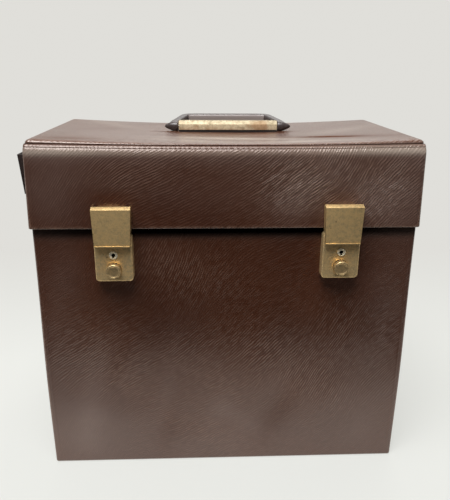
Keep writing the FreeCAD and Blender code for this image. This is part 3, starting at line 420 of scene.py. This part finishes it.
def metal(name, bright, dull, spot, roughness, tarnish=0.45, blotch=120.0, metallic=0.85, upper=None):
    """Old brass or steel: a dulled film with rubbed places, fine scratches and small dark spots, and where
    given, stains and a painted shade on upper faces.
    """
    material, tree, shader = new_material(name)
    coordinates = put(tree, "TexCoord").outputs
    place = coordinates["Object"]
    film = noise_of(tree, place, blotch, 5.0, 0.65)
    film = ramp(tree, film, (tarnish - 0.13, 0.0), (tarnish + 0.15, 1.0))
    fine = noise_of(tree, vectors(tree, "MULTIPLY", place, (2600, 700, 500)), 1.0, 3.0, 0.6)
    colour = mix(tree, film, dull, bright)
    colour = mix(tree, maths(tree, "MULTIPLY", fine, 0.3), colour, dull)
    where = ramp(tree, noise_of(tree, place, 70.0), (0.55, 0.0), (0.66, 1.0))
    speck = maths(tree, "MULTIPLY", spots(tree, place, 210.0, (0.10, 1.0), (0.2, 0.0)), where)
    colour = mix(tree, maths(tree, "MULTIPLY", speck, 0.75), colour, spot)
    if upper:
        stain = ramp(tree, noise_of(tree, place, 55.0, 4.0, 0.6), (0.54, 0.0), (0.66, 1.0))
        colour = mix(tree, maths(tree, "MULTIPLY", stain, 0.6), colour, STAIN)
        # Upper faces darker: painted shade
        painted_top_shade = ramp(tree, axis_of(tree, coordinates["Normal"], "Z"), (0.5, 0.0), (0.9, 1.0))
        colour = mix(tree, maths(tree, "MULTIPLY", painted_top_shade, 0.85), colour, upper)
    link(tree, colour, shader.inputs["Base Color"])
    rough = maths(tree, "MULTIPLY_ADD", film, -0.10, roughness + 0.08)
    link(tree, maths(tree, "MULTIPLY_ADD", fine, 0.10, rough), shader.inputs["Roughness"])
    normal = bump(tree, film, 0.00006, 0.8)
    link(tree, bump(tree, fine, 0.00003, 0.8, normal), shader.inputs["Normal"])
    settle(shader, Metallic=metallic)
    return material


def plastic(name, deep, pale, roughness):
    """Moulded plastic, a little rubbed on its high places, with a painted reflection along the grip's front.
    """
    material, tree, shader = new_material(name)
    coordinates = put(tree, "TexCoord").outputs
    place = coordinates["Object"]
    rubbed = ramp(tree, noise_of(tree, place, 420.0, 5.0, 0.7), (0.55, 0.0), (0.72, 1.0))
    cloud = noise_of(tree, place, 60.0, 3.0)
    # A painted reflection: the grip's front faces are paler
    forward = maths(tree, "MULTIPLY", axis_of(tree, coordinates["Normal"], "Y"), -1.0)
    grip = ramp(tree, axis_of(tree, place, "Y"), (0.034, 0.0), (0.038, 1.0))
    front = maths(tree, "MULTIPLY", ramp(tree, forward, (0.55, 0.0), (0.85, 1.0)), grip)
    colour = mix(tree, maths(tree, "MULTIPLY", rubbed, 0.2), deep, pale)
    colour = mix(tree, maths(tree, "MULTIPLY", front, 0.8), colour, pale)
    link(tree, mix(tree, maths(tree, "MULTIPLY", cloud, 0.12), colour, pale), shader.inputs["Base Color"])
    link(tree, maths(tree, "MULTIPLY_ADD", rubbed, 0.2, roughness), shader.inputs["Roughness"])
    grainy = noise_of(tree, place, 1500.0)
    link(tree, bump(tree, grainy, 0.00008, 0.5), shader.inputs["Normal"])
    settle(shader, Specular_IOR_Level=0.6)
    return material


def matt(name, first, second, scale, roughness, height):
    """Board, card, vinyl or cloth: a fibrous mottle with a matt surface."""
    material, tree, shader = new_material(name)
    place = put(tree, "TexCoord").outputs["Object"]
    fibre = noise_of(tree, place, scale, 6.0, 0.7)
    fleck = noise_of(tree, place, scale * 6, 3.0, 0.6)
    colour = mix(tree, ramp(tree, fibre, (0.3, 0.0), (0.7, 1.0)), first, second)
    link(tree, mix(tree, maths(tree, "MULTIPLY", fleck, 0.3), colour, second), shader.inputs["Base Color"])
    link(tree, maths(tree, "MULTIPLY_ADD", fleck, 0.15, roughness), shader.inputs["Roughness"])
    link(tree, bump(tree, fleck, height, 0.8), shader.inputs["Normal"])
    settle(shader, Specular_IOR_Level=0.3)
    return material


def make_materials():
    looks = {name: metal(name, *values) for name, values in METALS.items()}
    looks.update({name: matt(name, *values) for name, values in MATTS.items()})
    looks["leatherette"] = leather("leatherette", *COVERING)
    looks["handle_plastic"] = plastic("handle_plastic", (0.034, 0.022, 0.021), (0.34, 0.29, 0.275), 0.36)
    return looks


# Mesh helpers

def make_object(name, bm, material, body, replaced, smooth_angle=40):
    mesh = bpy.data.meshes.new(name)
    bm.to_mesh(mesh)
    bm.free()
    mesh.polygons.foreach_set("use_smooth", [True] * len(mesh.polygons))
    mesh.set_sharp_from_angle(angle=math.radians(smooth_angle))
    mesh.materials.append(material)
    made = bpy.data.objects.new(name, mesh)
    bpy.context.scene.collection.objects.link(made)
    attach(made, body)
    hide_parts(*replaced)
    return made


def bridge(bm, rows):
    """Joins rows of vertices, each of which closes into a ring, and gives the faces in order."""
    faces = []
    for lower, upper in zip(rows, rows[1:]):
        for i in range(len(lower)):
            k = (i + 1) % len(lower)
            faces.append(bm.faces.new((lower[i], lower[k], upper[k], upper[i])))
    return faces


def lathe(bm, profile, count, place):
    """Turns a profile of radius and depth. The place function takes a depth and the two offsets across it."""
    rows = []
    for radius, depth in profile:
        row = []
        for i in range(count):
            angle = 2 * math.pi * i / count
            point = place(depth, radius * math.cos(angle), radius * math.sin(angle))
            row.append(bm.verts.new([value * MM for value in point]))
        rows.append(row)
    bridge(bm, rows)


def refined(node, width, material, body):
    """The node's own shape with its sharp edges broken, as stamped and polished metal has."""
    bm = bmesh.new()
    bm.from_mesh(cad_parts[node].data)
    bmesh.ops.remove_doubles(bm, verts=bm.verts, dist=1e-6)
    bmesh.ops.dissolve_limit(bm, angle_limit=math.radians(1), verts=bm.verts, edges=bm.edges)
    sharp = math.radians(30)
    edges = [edge for edge in bm.edges if len(edge.link_faces) == 2 and edge.calc_face_angle(0) > sharp]
    bmesh.ops.bevel(bm, geom=edges, offset=width * MM, segments=3, profile=0.5, affect="EDGES",
                    clamp_overlap=True)
    make_object(node + "_shape", bm, material, body, (node,))


# Coverings

def spread(length, count):
    """Places along a side from 0 to its length, closer together at both ends."""
    shrink = min(1.0, length / (4 * CROWD[-1]))
    near = [step * shrink for step in CROWD]
    inner = near[-1]
    middle = [inner + (length - 2 * inner) * i / count for i in range(1, count)]
    return [0.0] + near + middle + [length - step for step in reversed(near)]


def outline(half, front, back, radius):
    """Points round a rounded rectangle with their outward normals, from the back left corner."""
    points = []
    sides = [((-half, back), (-1, 0), (0, -1), back - front), ((-half, front), (0, -1), (1, 0), 2 * half),
             ((half, front), (1, 0), (0, 1), back - front), ((half, back), (0, 1), (-1, 0), 2 * half)]
    for corner, normal, run, length in sides:
        before = (-run[0], -run[1])
        centre = (corner[0] + radius * (run[0] - normal[0]), corner[1] + radius * (run[1] - normal[1]))
        for i in range(STEPS_CORNER):
            angle = math.pi / 2 * i / STEPS_CORNER
            out = (before[0] * math.cos(angle) + normal[0] * math.sin(angle),
                   before[1] * math.cos(angle) + normal[1] * math.sin(angle))
            points.append((centre[0] + radius * out[0], centre[1] + radius * out[1], out))
        for step in spread(length - 2 * radius, STEPS_WIDE if run[0] else STEPS_DEEP)[:-1]:
            at = radius + step
            points.append((corner[0] + run[0] * at, corner[1] + run[1] * at, normal))
    return points


def gathered(forms, across, along):
    total = 0.0
    for at_across, at_along, wide, tall, tilt, amount in forms:
        c, s = math.cos(math.radians(tilt)), math.sin(math.radians(tilt))
        u = (c * (across - at_across) + s * (along - at_along)) / wide
        v = (-s * (across - at_across) + c * (along - at_along)) / tall
        total += amount * math.exp(-u * u - v * v)
    return min(total, 1.0)


def marks(x, y, z):
    """Painted sheen, painted glints on the strokes, dulled gloss, and the pale patches with the painted edge
    highlight
    of a place: given on the front and on the top, and by slow noise elsewhere."""
    if y < FRONT + FRONT_STRIP:
        return [gathered(forms, x, z) for forms in (PAINTED_SHEEN_MARKS, GLINT, DIM, PAINTED_EDGE_HIGHLIGHT)]
    wave = noise.noise(Vector((x * 0.012, y * 0.012, z * 0.016 + 9.0)))
    if z > DISH_BACK - 1 and abs(x) < LID_HALF_HIGH - 6:
        return 0.25 * max(0.0, wave), 0.5, min(1.0, 0.3 + gathered(TOP_DIM, x, y)), gathered(TOP_PALE_PATCHES, x, y)
    return max(0.0, wave) * 0.3, 0.3 + 0.4 * max(0.0, wave), max(0.0, -wave) * 0.3, 0.0


def skin(name, rings, material, body, replaced, cap=False):
    """A covering built from rings of equal count. Each ring has its points, a length along the profile, how
    rubbed it is with its painted highlight, and how much painted shade it takes. A cap closes the last ring,
    and its maker maps it."""
    bm = bmesh.new()
    layer = bm.loops.layers.uv.new("skin")
    wear_and_edge_highlight, painted_shade, painted_sheen, glint, dim, pale_patch_and_highlight = [bm.verts.layers.float.new(key)
                                          for key in ("wear_and_edge_highlight", "painted_shade", "painted_sheen", "glint", "dim", "pale_patch_and_highlight")]
    rows = []
    for points, along, worn, shaded in rings:
        row = []
        for x, y, z in points:
            vert = bm.verts.new((x * MM, y * MM, z * MM))
            at_end = y < FRONT + CORNER_STRIP or y > BACK - CORNER_STRIP
            # The upright corner edges of front and back take a painted highlight
            vert[wear_and_edge_highlight] = max(worn, 0.8 if at_end and abs(x) > BODY_HALF - CORNER_STRIP else 0.0)
            # Painted shade below the lid, weaker towards the front's ends and on the other walls
            near_end = min(1.0, max(0.0, (abs(x) - SHADE_END) / SHADE_RUN))
            vert[painted_shade] = shaded * (1.0 - SHADE_LESS * near_end if y < FRONT + FRONT_STRIP else SHADE_OTHER_WALLS)
            vert[painted_sheen], vert[glint], vert[dim], vert[pale_patch_and_highlight] = marks(x, y, z)
            row.append(vert)
        rows.append(row)
    middle = rings[len(rings) // 2][0]
    count = len(middle)
    spans = [0.0]
    for i in range(count):
        spans.append(spans[-1] + math.dist(middle[i][:2], middle[(i + 1) % count][:2]))
    for number, face in enumerate(bridge(bm, rows)):
        j, i = divmod(number, count)
        low, high = rings[j][1], rings[j + 1][1]
        corners = ((spans[i], low), (spans[i + 1], low), (spans[i + 1], high), (spans[i], high))
        for loop, (u, v) in zip(face.loops, corners):
            loop[layer].uv = (u * MM, v * MM)
    if cap:
        bm.faces.new(rows[-1])
    bmesh.ops.recalc_face_normals(bm, faces=bm.faces)
    return make_object(name, bm, material, body, replaced, 50)


def swell(x, y, z, normal, low, high, half, front, back):
    """How far a wall stands out: a soft bulge, slow waves and a fine crease beside the upright edges."""
    up = math.sin(math.pi * min(max((z - low) / (high - low), 0), 1))
    if abs(normal[0]) > 0.99:
        run = (y - front) / (back - front)
        amount = SWELL_SIDE * up * math.sin(math.pi * run)
    elif abs(normal[1]) > 0.99:
        run = (x + half) / (2 * half)
        amount = SWELL_FRONT * up * math.sin(math.pi * run)
    else:
        return 0.0
    beside = min(run, 1 - run) * (2 * half if abs(normal[1]) > 0.99 else back - front)
    wave = noise.noise(Vector((x * 0.011, y * 0.011, z * 0.014 + 3.1)))
    amount += SWELL_WAVE * wave * up
    amount += CREASE * math.exp(-((beside - EDGE - CREASE_AT) / CREASE_WIDTH) ** 2) * min(1.0, up * 4)
    return amount


def level(z):
    return lambda x, y: z


def wall_ring(half, front, back, inset, height, limits=None, wider=0.0, side_share=1.0):
    """A ring round the walls, at the height that a function gives for each place. Its inset may be less at
    the sides, and between the limits the walls swell."""
    ring = []
    radius = max(EDGE - 0.35 * inset, 1.0)
    for x, y, normal in outline(half - inset * side_share, front + inset, back - inset, radius):
        z = height(x, y)
        out = swell(x, y, z, normal, *limits, half, front, back) if limits else 0.0
        ring.append(((x + normal[0] * out) * (1 + wider / half), y + normal[1] * out, z))
    return ring


def rolled_profile(low, high, turn_in, roll, rows):
    """Insets and heights from inside the lower edge, round it and up the wall."""
    steps = [(turn_in, low + 1.2), (turn_in, low + 0.3), (turn_in - 0.4, low), (roll, low)]
    for i in range(1, 6):
        angle = math.pi / 2 * i / 5
        steps.append((roll - roll * math.sin(angle), low + roll - roll * math.cos(angle)))
    for i in range(1, rows + 1):
        steps.append((0.0, low + roll + (high - low - roll) * i / rows))
    return steps


def lengths_along(profile):
    lengths = [0.0]
    for last, step in zip(profile, profile[1:]):
        lengths.append(lengths[-1] + math.dist(step, last))
    return lengths


def make_body_cover(material):
    """Up the body's walls, over their rounded upper edge and down inside it."""
    profile = rolled_profile(BODY_LOW, BODY_TOP - BODY_ROLL, 3.0, 1.2, 90)
    for i in range(1, 6):
        angle = math.pi / 2 * i / 5
        profile.append((BODY_ROLL - BODY_ROLL * math.cos(angle),
                        BODY_TOP - BODY_ROLL + BODY_ROLL * math.sin(angle)))
    profile += [(3.4, BODY_TOP), (5.2, BODY_TOP), (WALL - 0.3, BODY_TOP), (WALL, BODY_TOP - 0.3),
                (WALL, BODY_TOP - 1.0)]
    rings = []
    for (inset, z), along in zip(profile, lengths_along(profile)):
        limits = (BODY_LOW, BODY_TOP) if inset == 0 else None
        worn = 1.0 if 0 < inset < 3 else 0.0
        # Painted shade in a band below the body's top, under the lid's overhang
        shaded = max(0.0, min(1.0, (z - BODY_TOP + SHADE_DEPTH) / SHADE_FADE))
        wider = BULGE * math.exp(-((z - BULGE_AT) / BULGE_REACH) ** 2) if inset < 3 else 0.0
        ring = wall_ring(BODY_HALF, FRONT, BACK, inset, level(z), limits, wider)
        rings.append((ring, along, worn, shaded))
    skin("body_cover", rings, material, "case_body", ("body_covering",))


def lid_half(z):
    return LID_HALF_LOW + (LID_HALF_HIGH - LID_HALF_LOW) * (z - LID_BOTTOM) / (LID_TOP - LID_BOTTOM)


def sagging(x, y, front, back, end):
    """A height that falls from front to back along the middle, and rises to one height at both ends."""
    middle = front + (back - front) * (y - LID_FRONT) / (BACK - LID_FRONT)
    return middle + (end - middle) * (x / LID_HALF_HIGH) ** 2


def seam_height(x, y):
    return sagging(x, y, SEAM_FRONT, SEAM_BACK, SEAM_END)


def dish(x, y):
    return sagging(x, y, DISH_FRONT, DISH_BACK, LID_TOP)


def towards_seam(low, share, offset):
    return lambda x, y: low + (seam_height(x, y) + offset - low) * share


def make_lid_wall_cover(material):
    """Up the lid's walls, over their rolled top edge and a fine bead, and in under the top's rim."""
    lower = rolled_profile(LID_BOTTOM, LID_BOTTOM + LID_EDGE, WALL, LID_EDGE, 0)
    # The lid's lower edge takes a painted highlight
    steps = [(inset, level(z), z, 0.9 if inset < 1.2 else 0.0, 0.0) for inset, z in lower]
    base = lower[-1][1]
    for i in range(1, 31):
        share = i / 30
        z = base + (SEAM_FRONT - ROLL_DEPTH - base) * share
        steps.append((0.0, towards_seam(base, share, -ROLL_DEPTH), z, 0.0, 0.0))
    # The roll's rings deep in the seam take painted shade
    for inset, rise in ROLL_OVER:
        steps.append((inset, towards_seam(base, 1.0, rise - ROLL_DEPTH), SEAM_FRONT - ROLL_DEPTH + rise,
                      0.2, SEAM_SHADE if inset > 4 else 0.0))
    lengths = lengths_along([(inset, z) for inset, height, z, worn, shaded in steps])
    rings = []
    for (inset, height, z, worn, shaded), along in zip(steps, lengths):
        limits = (LID_BOTTOM, LID_TOP) if inset == 0 else None
        side_share = SIDE_ROLL if z > SEAM_FRONT - ROLL_DEPTH else 1.0
        ring = wall_ring(lid_half(z), LID_FRONT, BACK, inset, height, limits, 0.0, side_share)
        rings.append((ring, along, worn, shaded))
    skin("lid_wall_cover", rings, material, "lid", ("lid_wall_covering",))


def make_lid_top_cover(material):
    """The sagging top sheet, from its rim in the seam over a soft roll to the middle."""
    steps = [(6.4, 0.0, -0.45), (5.2, 0.0, -0.3), (4.8, 0.0, 0.0)]
    for i in range(1, 9):
        angle = math.pi / 2 * i / 8
        steps.append((RIM_INSET + RIM_ROLL * (1 - math.cos(angle)), math.sin(angle), 0.0))
    inset = RIM_ROLL + RIM_INSET
    while inset < (BACK - LID_FRONT) / 2 - 4.5:
        inset += 4.0
        steps.append((inset, 1.0, 0.0))
    rings = []
    for inset, share, drop in steps:
        ring = []
        half = LID_HALF_HIGH + RIM_OUT - inset
        for x, y, normal in outline(half, LID_FRONT + inset, BACK - inset, max(5.5 - inset * 0.3, 0.5)):
            base = seam_height(x, y) + 0.35
            sag = 0.45 * noise.noise(Vector((x * 0.012, y * 0.016, 7.3))) * min(1.0, inset / 30)
            ring.append((x, y, base + drop + (dish(x, y) - base) * share + sag))
        # The rim's rings in the seam take painted shade
        rings.append((ring, inset, 0.3 if 4.5 < inset < 9 else 0.0, SEAM_SHADE if share == 0.0 else 0.0))
    made = skin("lid_top_cover", rings, material, "lid", ("lid_top_covering",), cap=True)

    # The sheet lies flat, so its map is its plan, shifted by a metre to differ from the walls' map
    layer = made.data.uv_layers["skin"]
    for loop in made.data.loops:
        co = made.data.vertices[loop.vertex_index].co
        layer.data[loop.index].uv = (co.x + 1.0, co.y + 1.0)


def ease_board(side, material):
    """A board of the lid with its outer top corner planed off, to lie under the softly rolled covering."""
    bm = bmesh.new()
    bm.from_mesh(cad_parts["lid_%s_board" % side].data)
    for vert in bm.verts:
        x, y, z = vert.co / MM
        if z > LID_TOP - 2 * ROLL_DEPTH:
            x = max(-LID_HALF_HIGH + PLANED, min(LID_HALF_HIGH - PLANED, x))
            y = max(LID_FRONT + PLANED, min(BACK - PLANED, y))
            vert.co = Vector((x, y, min(z, seam_height(x, y) - 1.2))) * MM
    make_object("lid_%s_board_shape" % side, bm, material, "lid", ("lid_%s_board" % side,))


# Handle

def smooth_path(points, count):
    """Places on a smooth line through the points, with all of their values."""
    result = []
    for i in range(count + 1):
        at = i / count * (len(points) - 1)
        j = min(int(at), len(points) - 2)
        t = at - j
        near = (points[max(j - 1, 0)], points[j], points[j + 1], points[min(j + 2, len(points) - 1)])
        result.append([0.5 * (2 * b + (c - a) * t + (2 * a - 5 * b + 4 * c - d) * t * t
                              + (3 * b - a - 3 * c + d) * t ** 3) for a, b, c, d in zip(*near)])
    return result


def make_handle(material):
    """Two knuckles, blunt inside and pointed outside, joined by a bowed grip and blended into one shape."""
    bm = bmesh.new()
    for direction in (-1, 1):
        start = HANDLE_CENTRE + direction * KNUCKLE_START
        lathe(bm, KNUCKLE, 28, lambda depth, a, b: (start + direction * depth, a, HANDLE_AXIS + b))
    points = [(-x, *rest) for x, *rest in ARM] + ARM[-2::-1]
    path = smooth_path(points, 150)
    rows = []
    for i, (x, y, z, wide, tall) in enumerate(path):
        ahead = path[min(i + 1, len(path) - 1)]
        behind = path[max(i - 1, 0)]
        run = Vector((ahead[0] - behind[0], ahead[1] - behind[1])).normalized()
        side = Vector((-run[1], run[0]))
        row = []
        for k in range(32):
            angle = 2 * math.pi * k / 32
            c, s = math.cos(angle), math.sin(angle)
            p = math.copysign(abs(c) ** ARM_SQUARENESS, c) * wide
            q = math.copysign(abs(s) ** ARM_SQUARENESS, s) * tall
            row.append(bm.verts.new(((HANDLE_CENTRE + x + side[0] * p) * MM, (y + side[1] * p) * MM,
                                     (HANDLE_AXIS + z + q) * MM)))
        rows.append(row)
    bridge(bm, rows)
    bm.faces.new(rows[0])
    bm.faces.new(rows[-1])
    bmesh.ops.remove_doubles(bm, verts=bm.verts, dist=1e-7)
    bmesh.ops.recalc_face_normals(bm, faces=bm.faces)
    made = make_object("handle_loop", bm, material, "handle", ("handle",), 180)
    remesh = made.modifiers.new("blend", "REMESH")
    remesh.mode = "VOXEL"
    remesh.voxel_size = 0.5 * MM
    remesh.use_smooth_shade = True
    soften = made.modifiers.new("soften", "SMOOTH")
    soften.factor = 0.5
    soften.iterations = 6


# Latches

def make_button(side, material):
    low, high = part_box("button_" + side)
    x = (low.x + high.x) / 2 / MM
    z = (low.z + high.z) / 2 / MM
    profile = [(radius, low.y / MM + depth) for radius, depth in BUTTON_CAP]
    profile += [(radius, BUTTON_SEAT + depth) for radius, depth in BUTTON_STEM]
    bm = bmesh.new()
    lathe(bm, profile, 56, lambda depth, a, b: (x + a, depth, z + b))
    bmesh.ops.remove_doubles(bm, verts=bm.verts, dist=5e-6)
    bmesh.ops.recalc_face_normals(bm, faces=bm.faces)
    node = "button_" + side
    make_object(node + "_shape", bm, material, node, (node,), 50)


def make_catch_spring(side, material):
    """The leaf under a catch, as its own copy of the node's shape."""
    node = "catch_spring_" + side
    bm = bmesh.new()
    bm.from_mesh(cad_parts[node].data)
    made = make_object(node + "_shape", bm, material, "case_body", (node,))
    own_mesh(made)


# Stage

def ray_kinds(tree):
    """Whether a ray comes from the camera, and whether it comes off or through something shiny."""
    rays = put(tree, "LightPath").outputs
    return rays["Is Camera Ray"], maths(tree, "MAXIMUM", rays["Is Glossy Ray"], rays["Is Transmission Ray"])


def make_table():
    """A pale table that ends a little in front of the case. Seen or mirrored, it is as even as the wall."""
    material, tree, shader = new_material("pale_floor")
    place = put(tree, "TexCoord").outputs["Object"]
    colour = mix(tree, noise_of(tree, place, 3.0, 3.0), *TABLE_SPECKLE)
    link(tree, colour, shader.inputs["Base Color"])
    settle(shader, Roughness=0.6, Specular_IOR_Level=0.2)
    split = put(tree, "SeparateXYZ", {0: place}).outputs
    beside = ramp(tree, maths(tree, "ABSOLUTE", split["X"]), (0.30, 0.0), (0.90, 1.0))
    rear = ramp(tree, split["Y"], (0.12, 0.0), (0.60, 1.0))
    front = ramp(tree, maths(tree, "MULTIPLY", split["Y"], -1.0), (0.17, 0.0), (0.27, 1.0))
    far = maths(tree, "MAXIMUM", maths(tree, "MAXIMUM", beside, rear), front)
    glow = put(tree, "Emission", {"Color": mix(tree, far, TABLE_NEAR, WALL_COLOUR)})
    camera, mirrored = ray_kinds(tree)
    seen = maths(tree, "MAXIMUM", camera, mirrored)
    share = maths(tree, "MULTIPLY", seen, maths(tree, "MULTIPLY_ADD", far, 0.29, 0.71))
    blend = put(tree, "MixShader", {0: share, 1: shader.outputs[0], 2: glow.outputs[0]})
    link(tree, blend.outputs[0], tree.nodes["Material Output"].inputs["Surface"])
    bm = bmesh.new()
    corners = [(-TABLE_SIDE, TABLE_FRONT), (TABLE_SIDE, TABLE_FRONT), (TABLE_SIDE, TABLE_BACK),
               (-TABLE_SIDE, TABLE_BACK)]
    bm.faces.new([bm.verts.new((x, y, 0.0)) for x, y in corners])
    mesh = bpy.data.meshes.new("floor")
    bm.to_mesh(mesh)
    bm.free()
    mesh.materials.append(material)
    floor = bpy.data.objects.new("floor", mesh)
    bpy.context.scene.collection.objects.link(floor)


def make_world():
    """An even pale wall for the camera, and for other rays a room with a bright wall behind the case, a dark
    front and a dark floor. Mirrored rays that go behind the case see the pale wall."""
    world = bpy.data.worlds.new("studio")
    bpy.context.scene.world = world
    world.use_nodes = True
    tree = world.node_tree
    ahead = put(tree, "SeparateXYZ", {0: put(tree, "TexCoord").outputs["Generated"]}).outputs
    above = ramp(tree, maths(tree, "MULTIPLY_ADD", ahead["Z"], 0.5, 0.5), (0.46, 0.0), (0.52, 1.0))
    behind = ramp(tree, maths(tree, "MULTIPLY_ADD", ahead["Y"], 0.5, 0.5), (0.45, 0.0), (0.75, 1.0))
    camera, mirrored = ray_kinds(tree)
    wall = mix(tree, mirrored, ROOM_BEHIND, WALL_COLOUR)
    room = mix(tree, above, ROOM_FLOOR, mix(tree, behind, ROOM_FRONT, wall))
    background = tree.nodes["Background"]
    link(tree, mix(tree, camera, room, WALL_COLOUR), background.inputs["Color"])
    background.inputs["Strength"].default_value = 1.0


def make_lamp(name, place, target, size, power):
    data = bpy.data.lights.new(name, "AREA")
    data.shape = "SQUARE"
    data.size = size
    data.energy = power
    lamp = bpy.data.objects.new(name, data)
    bpy.context.scene.collection.objects.link(lamp)
    lamp.location = place
    lamp.rotation_mode = "QUATERNION"
    lamp.rotation_quaternion = (Vector(target) - Vector(place)).to_track_quat("-Z", "Y")


def paint(nodes, material):
    for name in nodes:
        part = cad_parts[name]
        part.data.materials.clear()
        part.data.materials.append(material)


def build():
    make_camera()
    make_table()
    make_world()
    make_lamp("key", (-0.3, -0.75, 2.1), (0, 0, 0.2), 1.2, 62)
    make_lamp("rear", (0.3, 1.4, 1.7), (0, 0, 0.3), 1.4, 9)
    looks = make_materials()
    make_body_cover(looks["leatherette"])
    make_lid_wall_cover(looks["leatherette"])
    make_lid_top_cover(looks["leatherette"])
    make_handle(looks["handle_plastic"])
    paint([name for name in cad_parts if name.endswith("_board")], looks["board"])
    for side in ("front", "back", "left", "right"):
        ease_board(side, looks["board"])
    for name, nodes in PAINTED.items():
        paint(nodes, looks[name])
    refined("handle_bridge", 0.35, looks["handle_brass"], "lid")
    refined("label_pocket", 0.3, looks["pocket_vinyl"], "lid")
    for side in ("left", "right"):
        make_catch_spring(side, looks["steel"])
        refined("hasp_" + side, 0.35, looks["latch_brass"], "hasp_" + side)
        refined("lock_case_" + side, 0.3, looks["lock_brass"], "case_body")
        refined("key_plate_" + side, 0.15, looks["key_brass"], "case_body")
        refined("hasp_plate_" + side, 0.2, looks["latch_brass"], "lid")
        refined("hinge_body_leaf_" + side, 0.3, looks["hinge_brass"], "case_body")
        refined("hinge_lid_leaf_" + side, 0.3, looks["hinge_brass"], "lid")
        make_button(side, looks["button_brass"])
    bpy.context.scene.view_settings.view_transform = "Standard"


build()
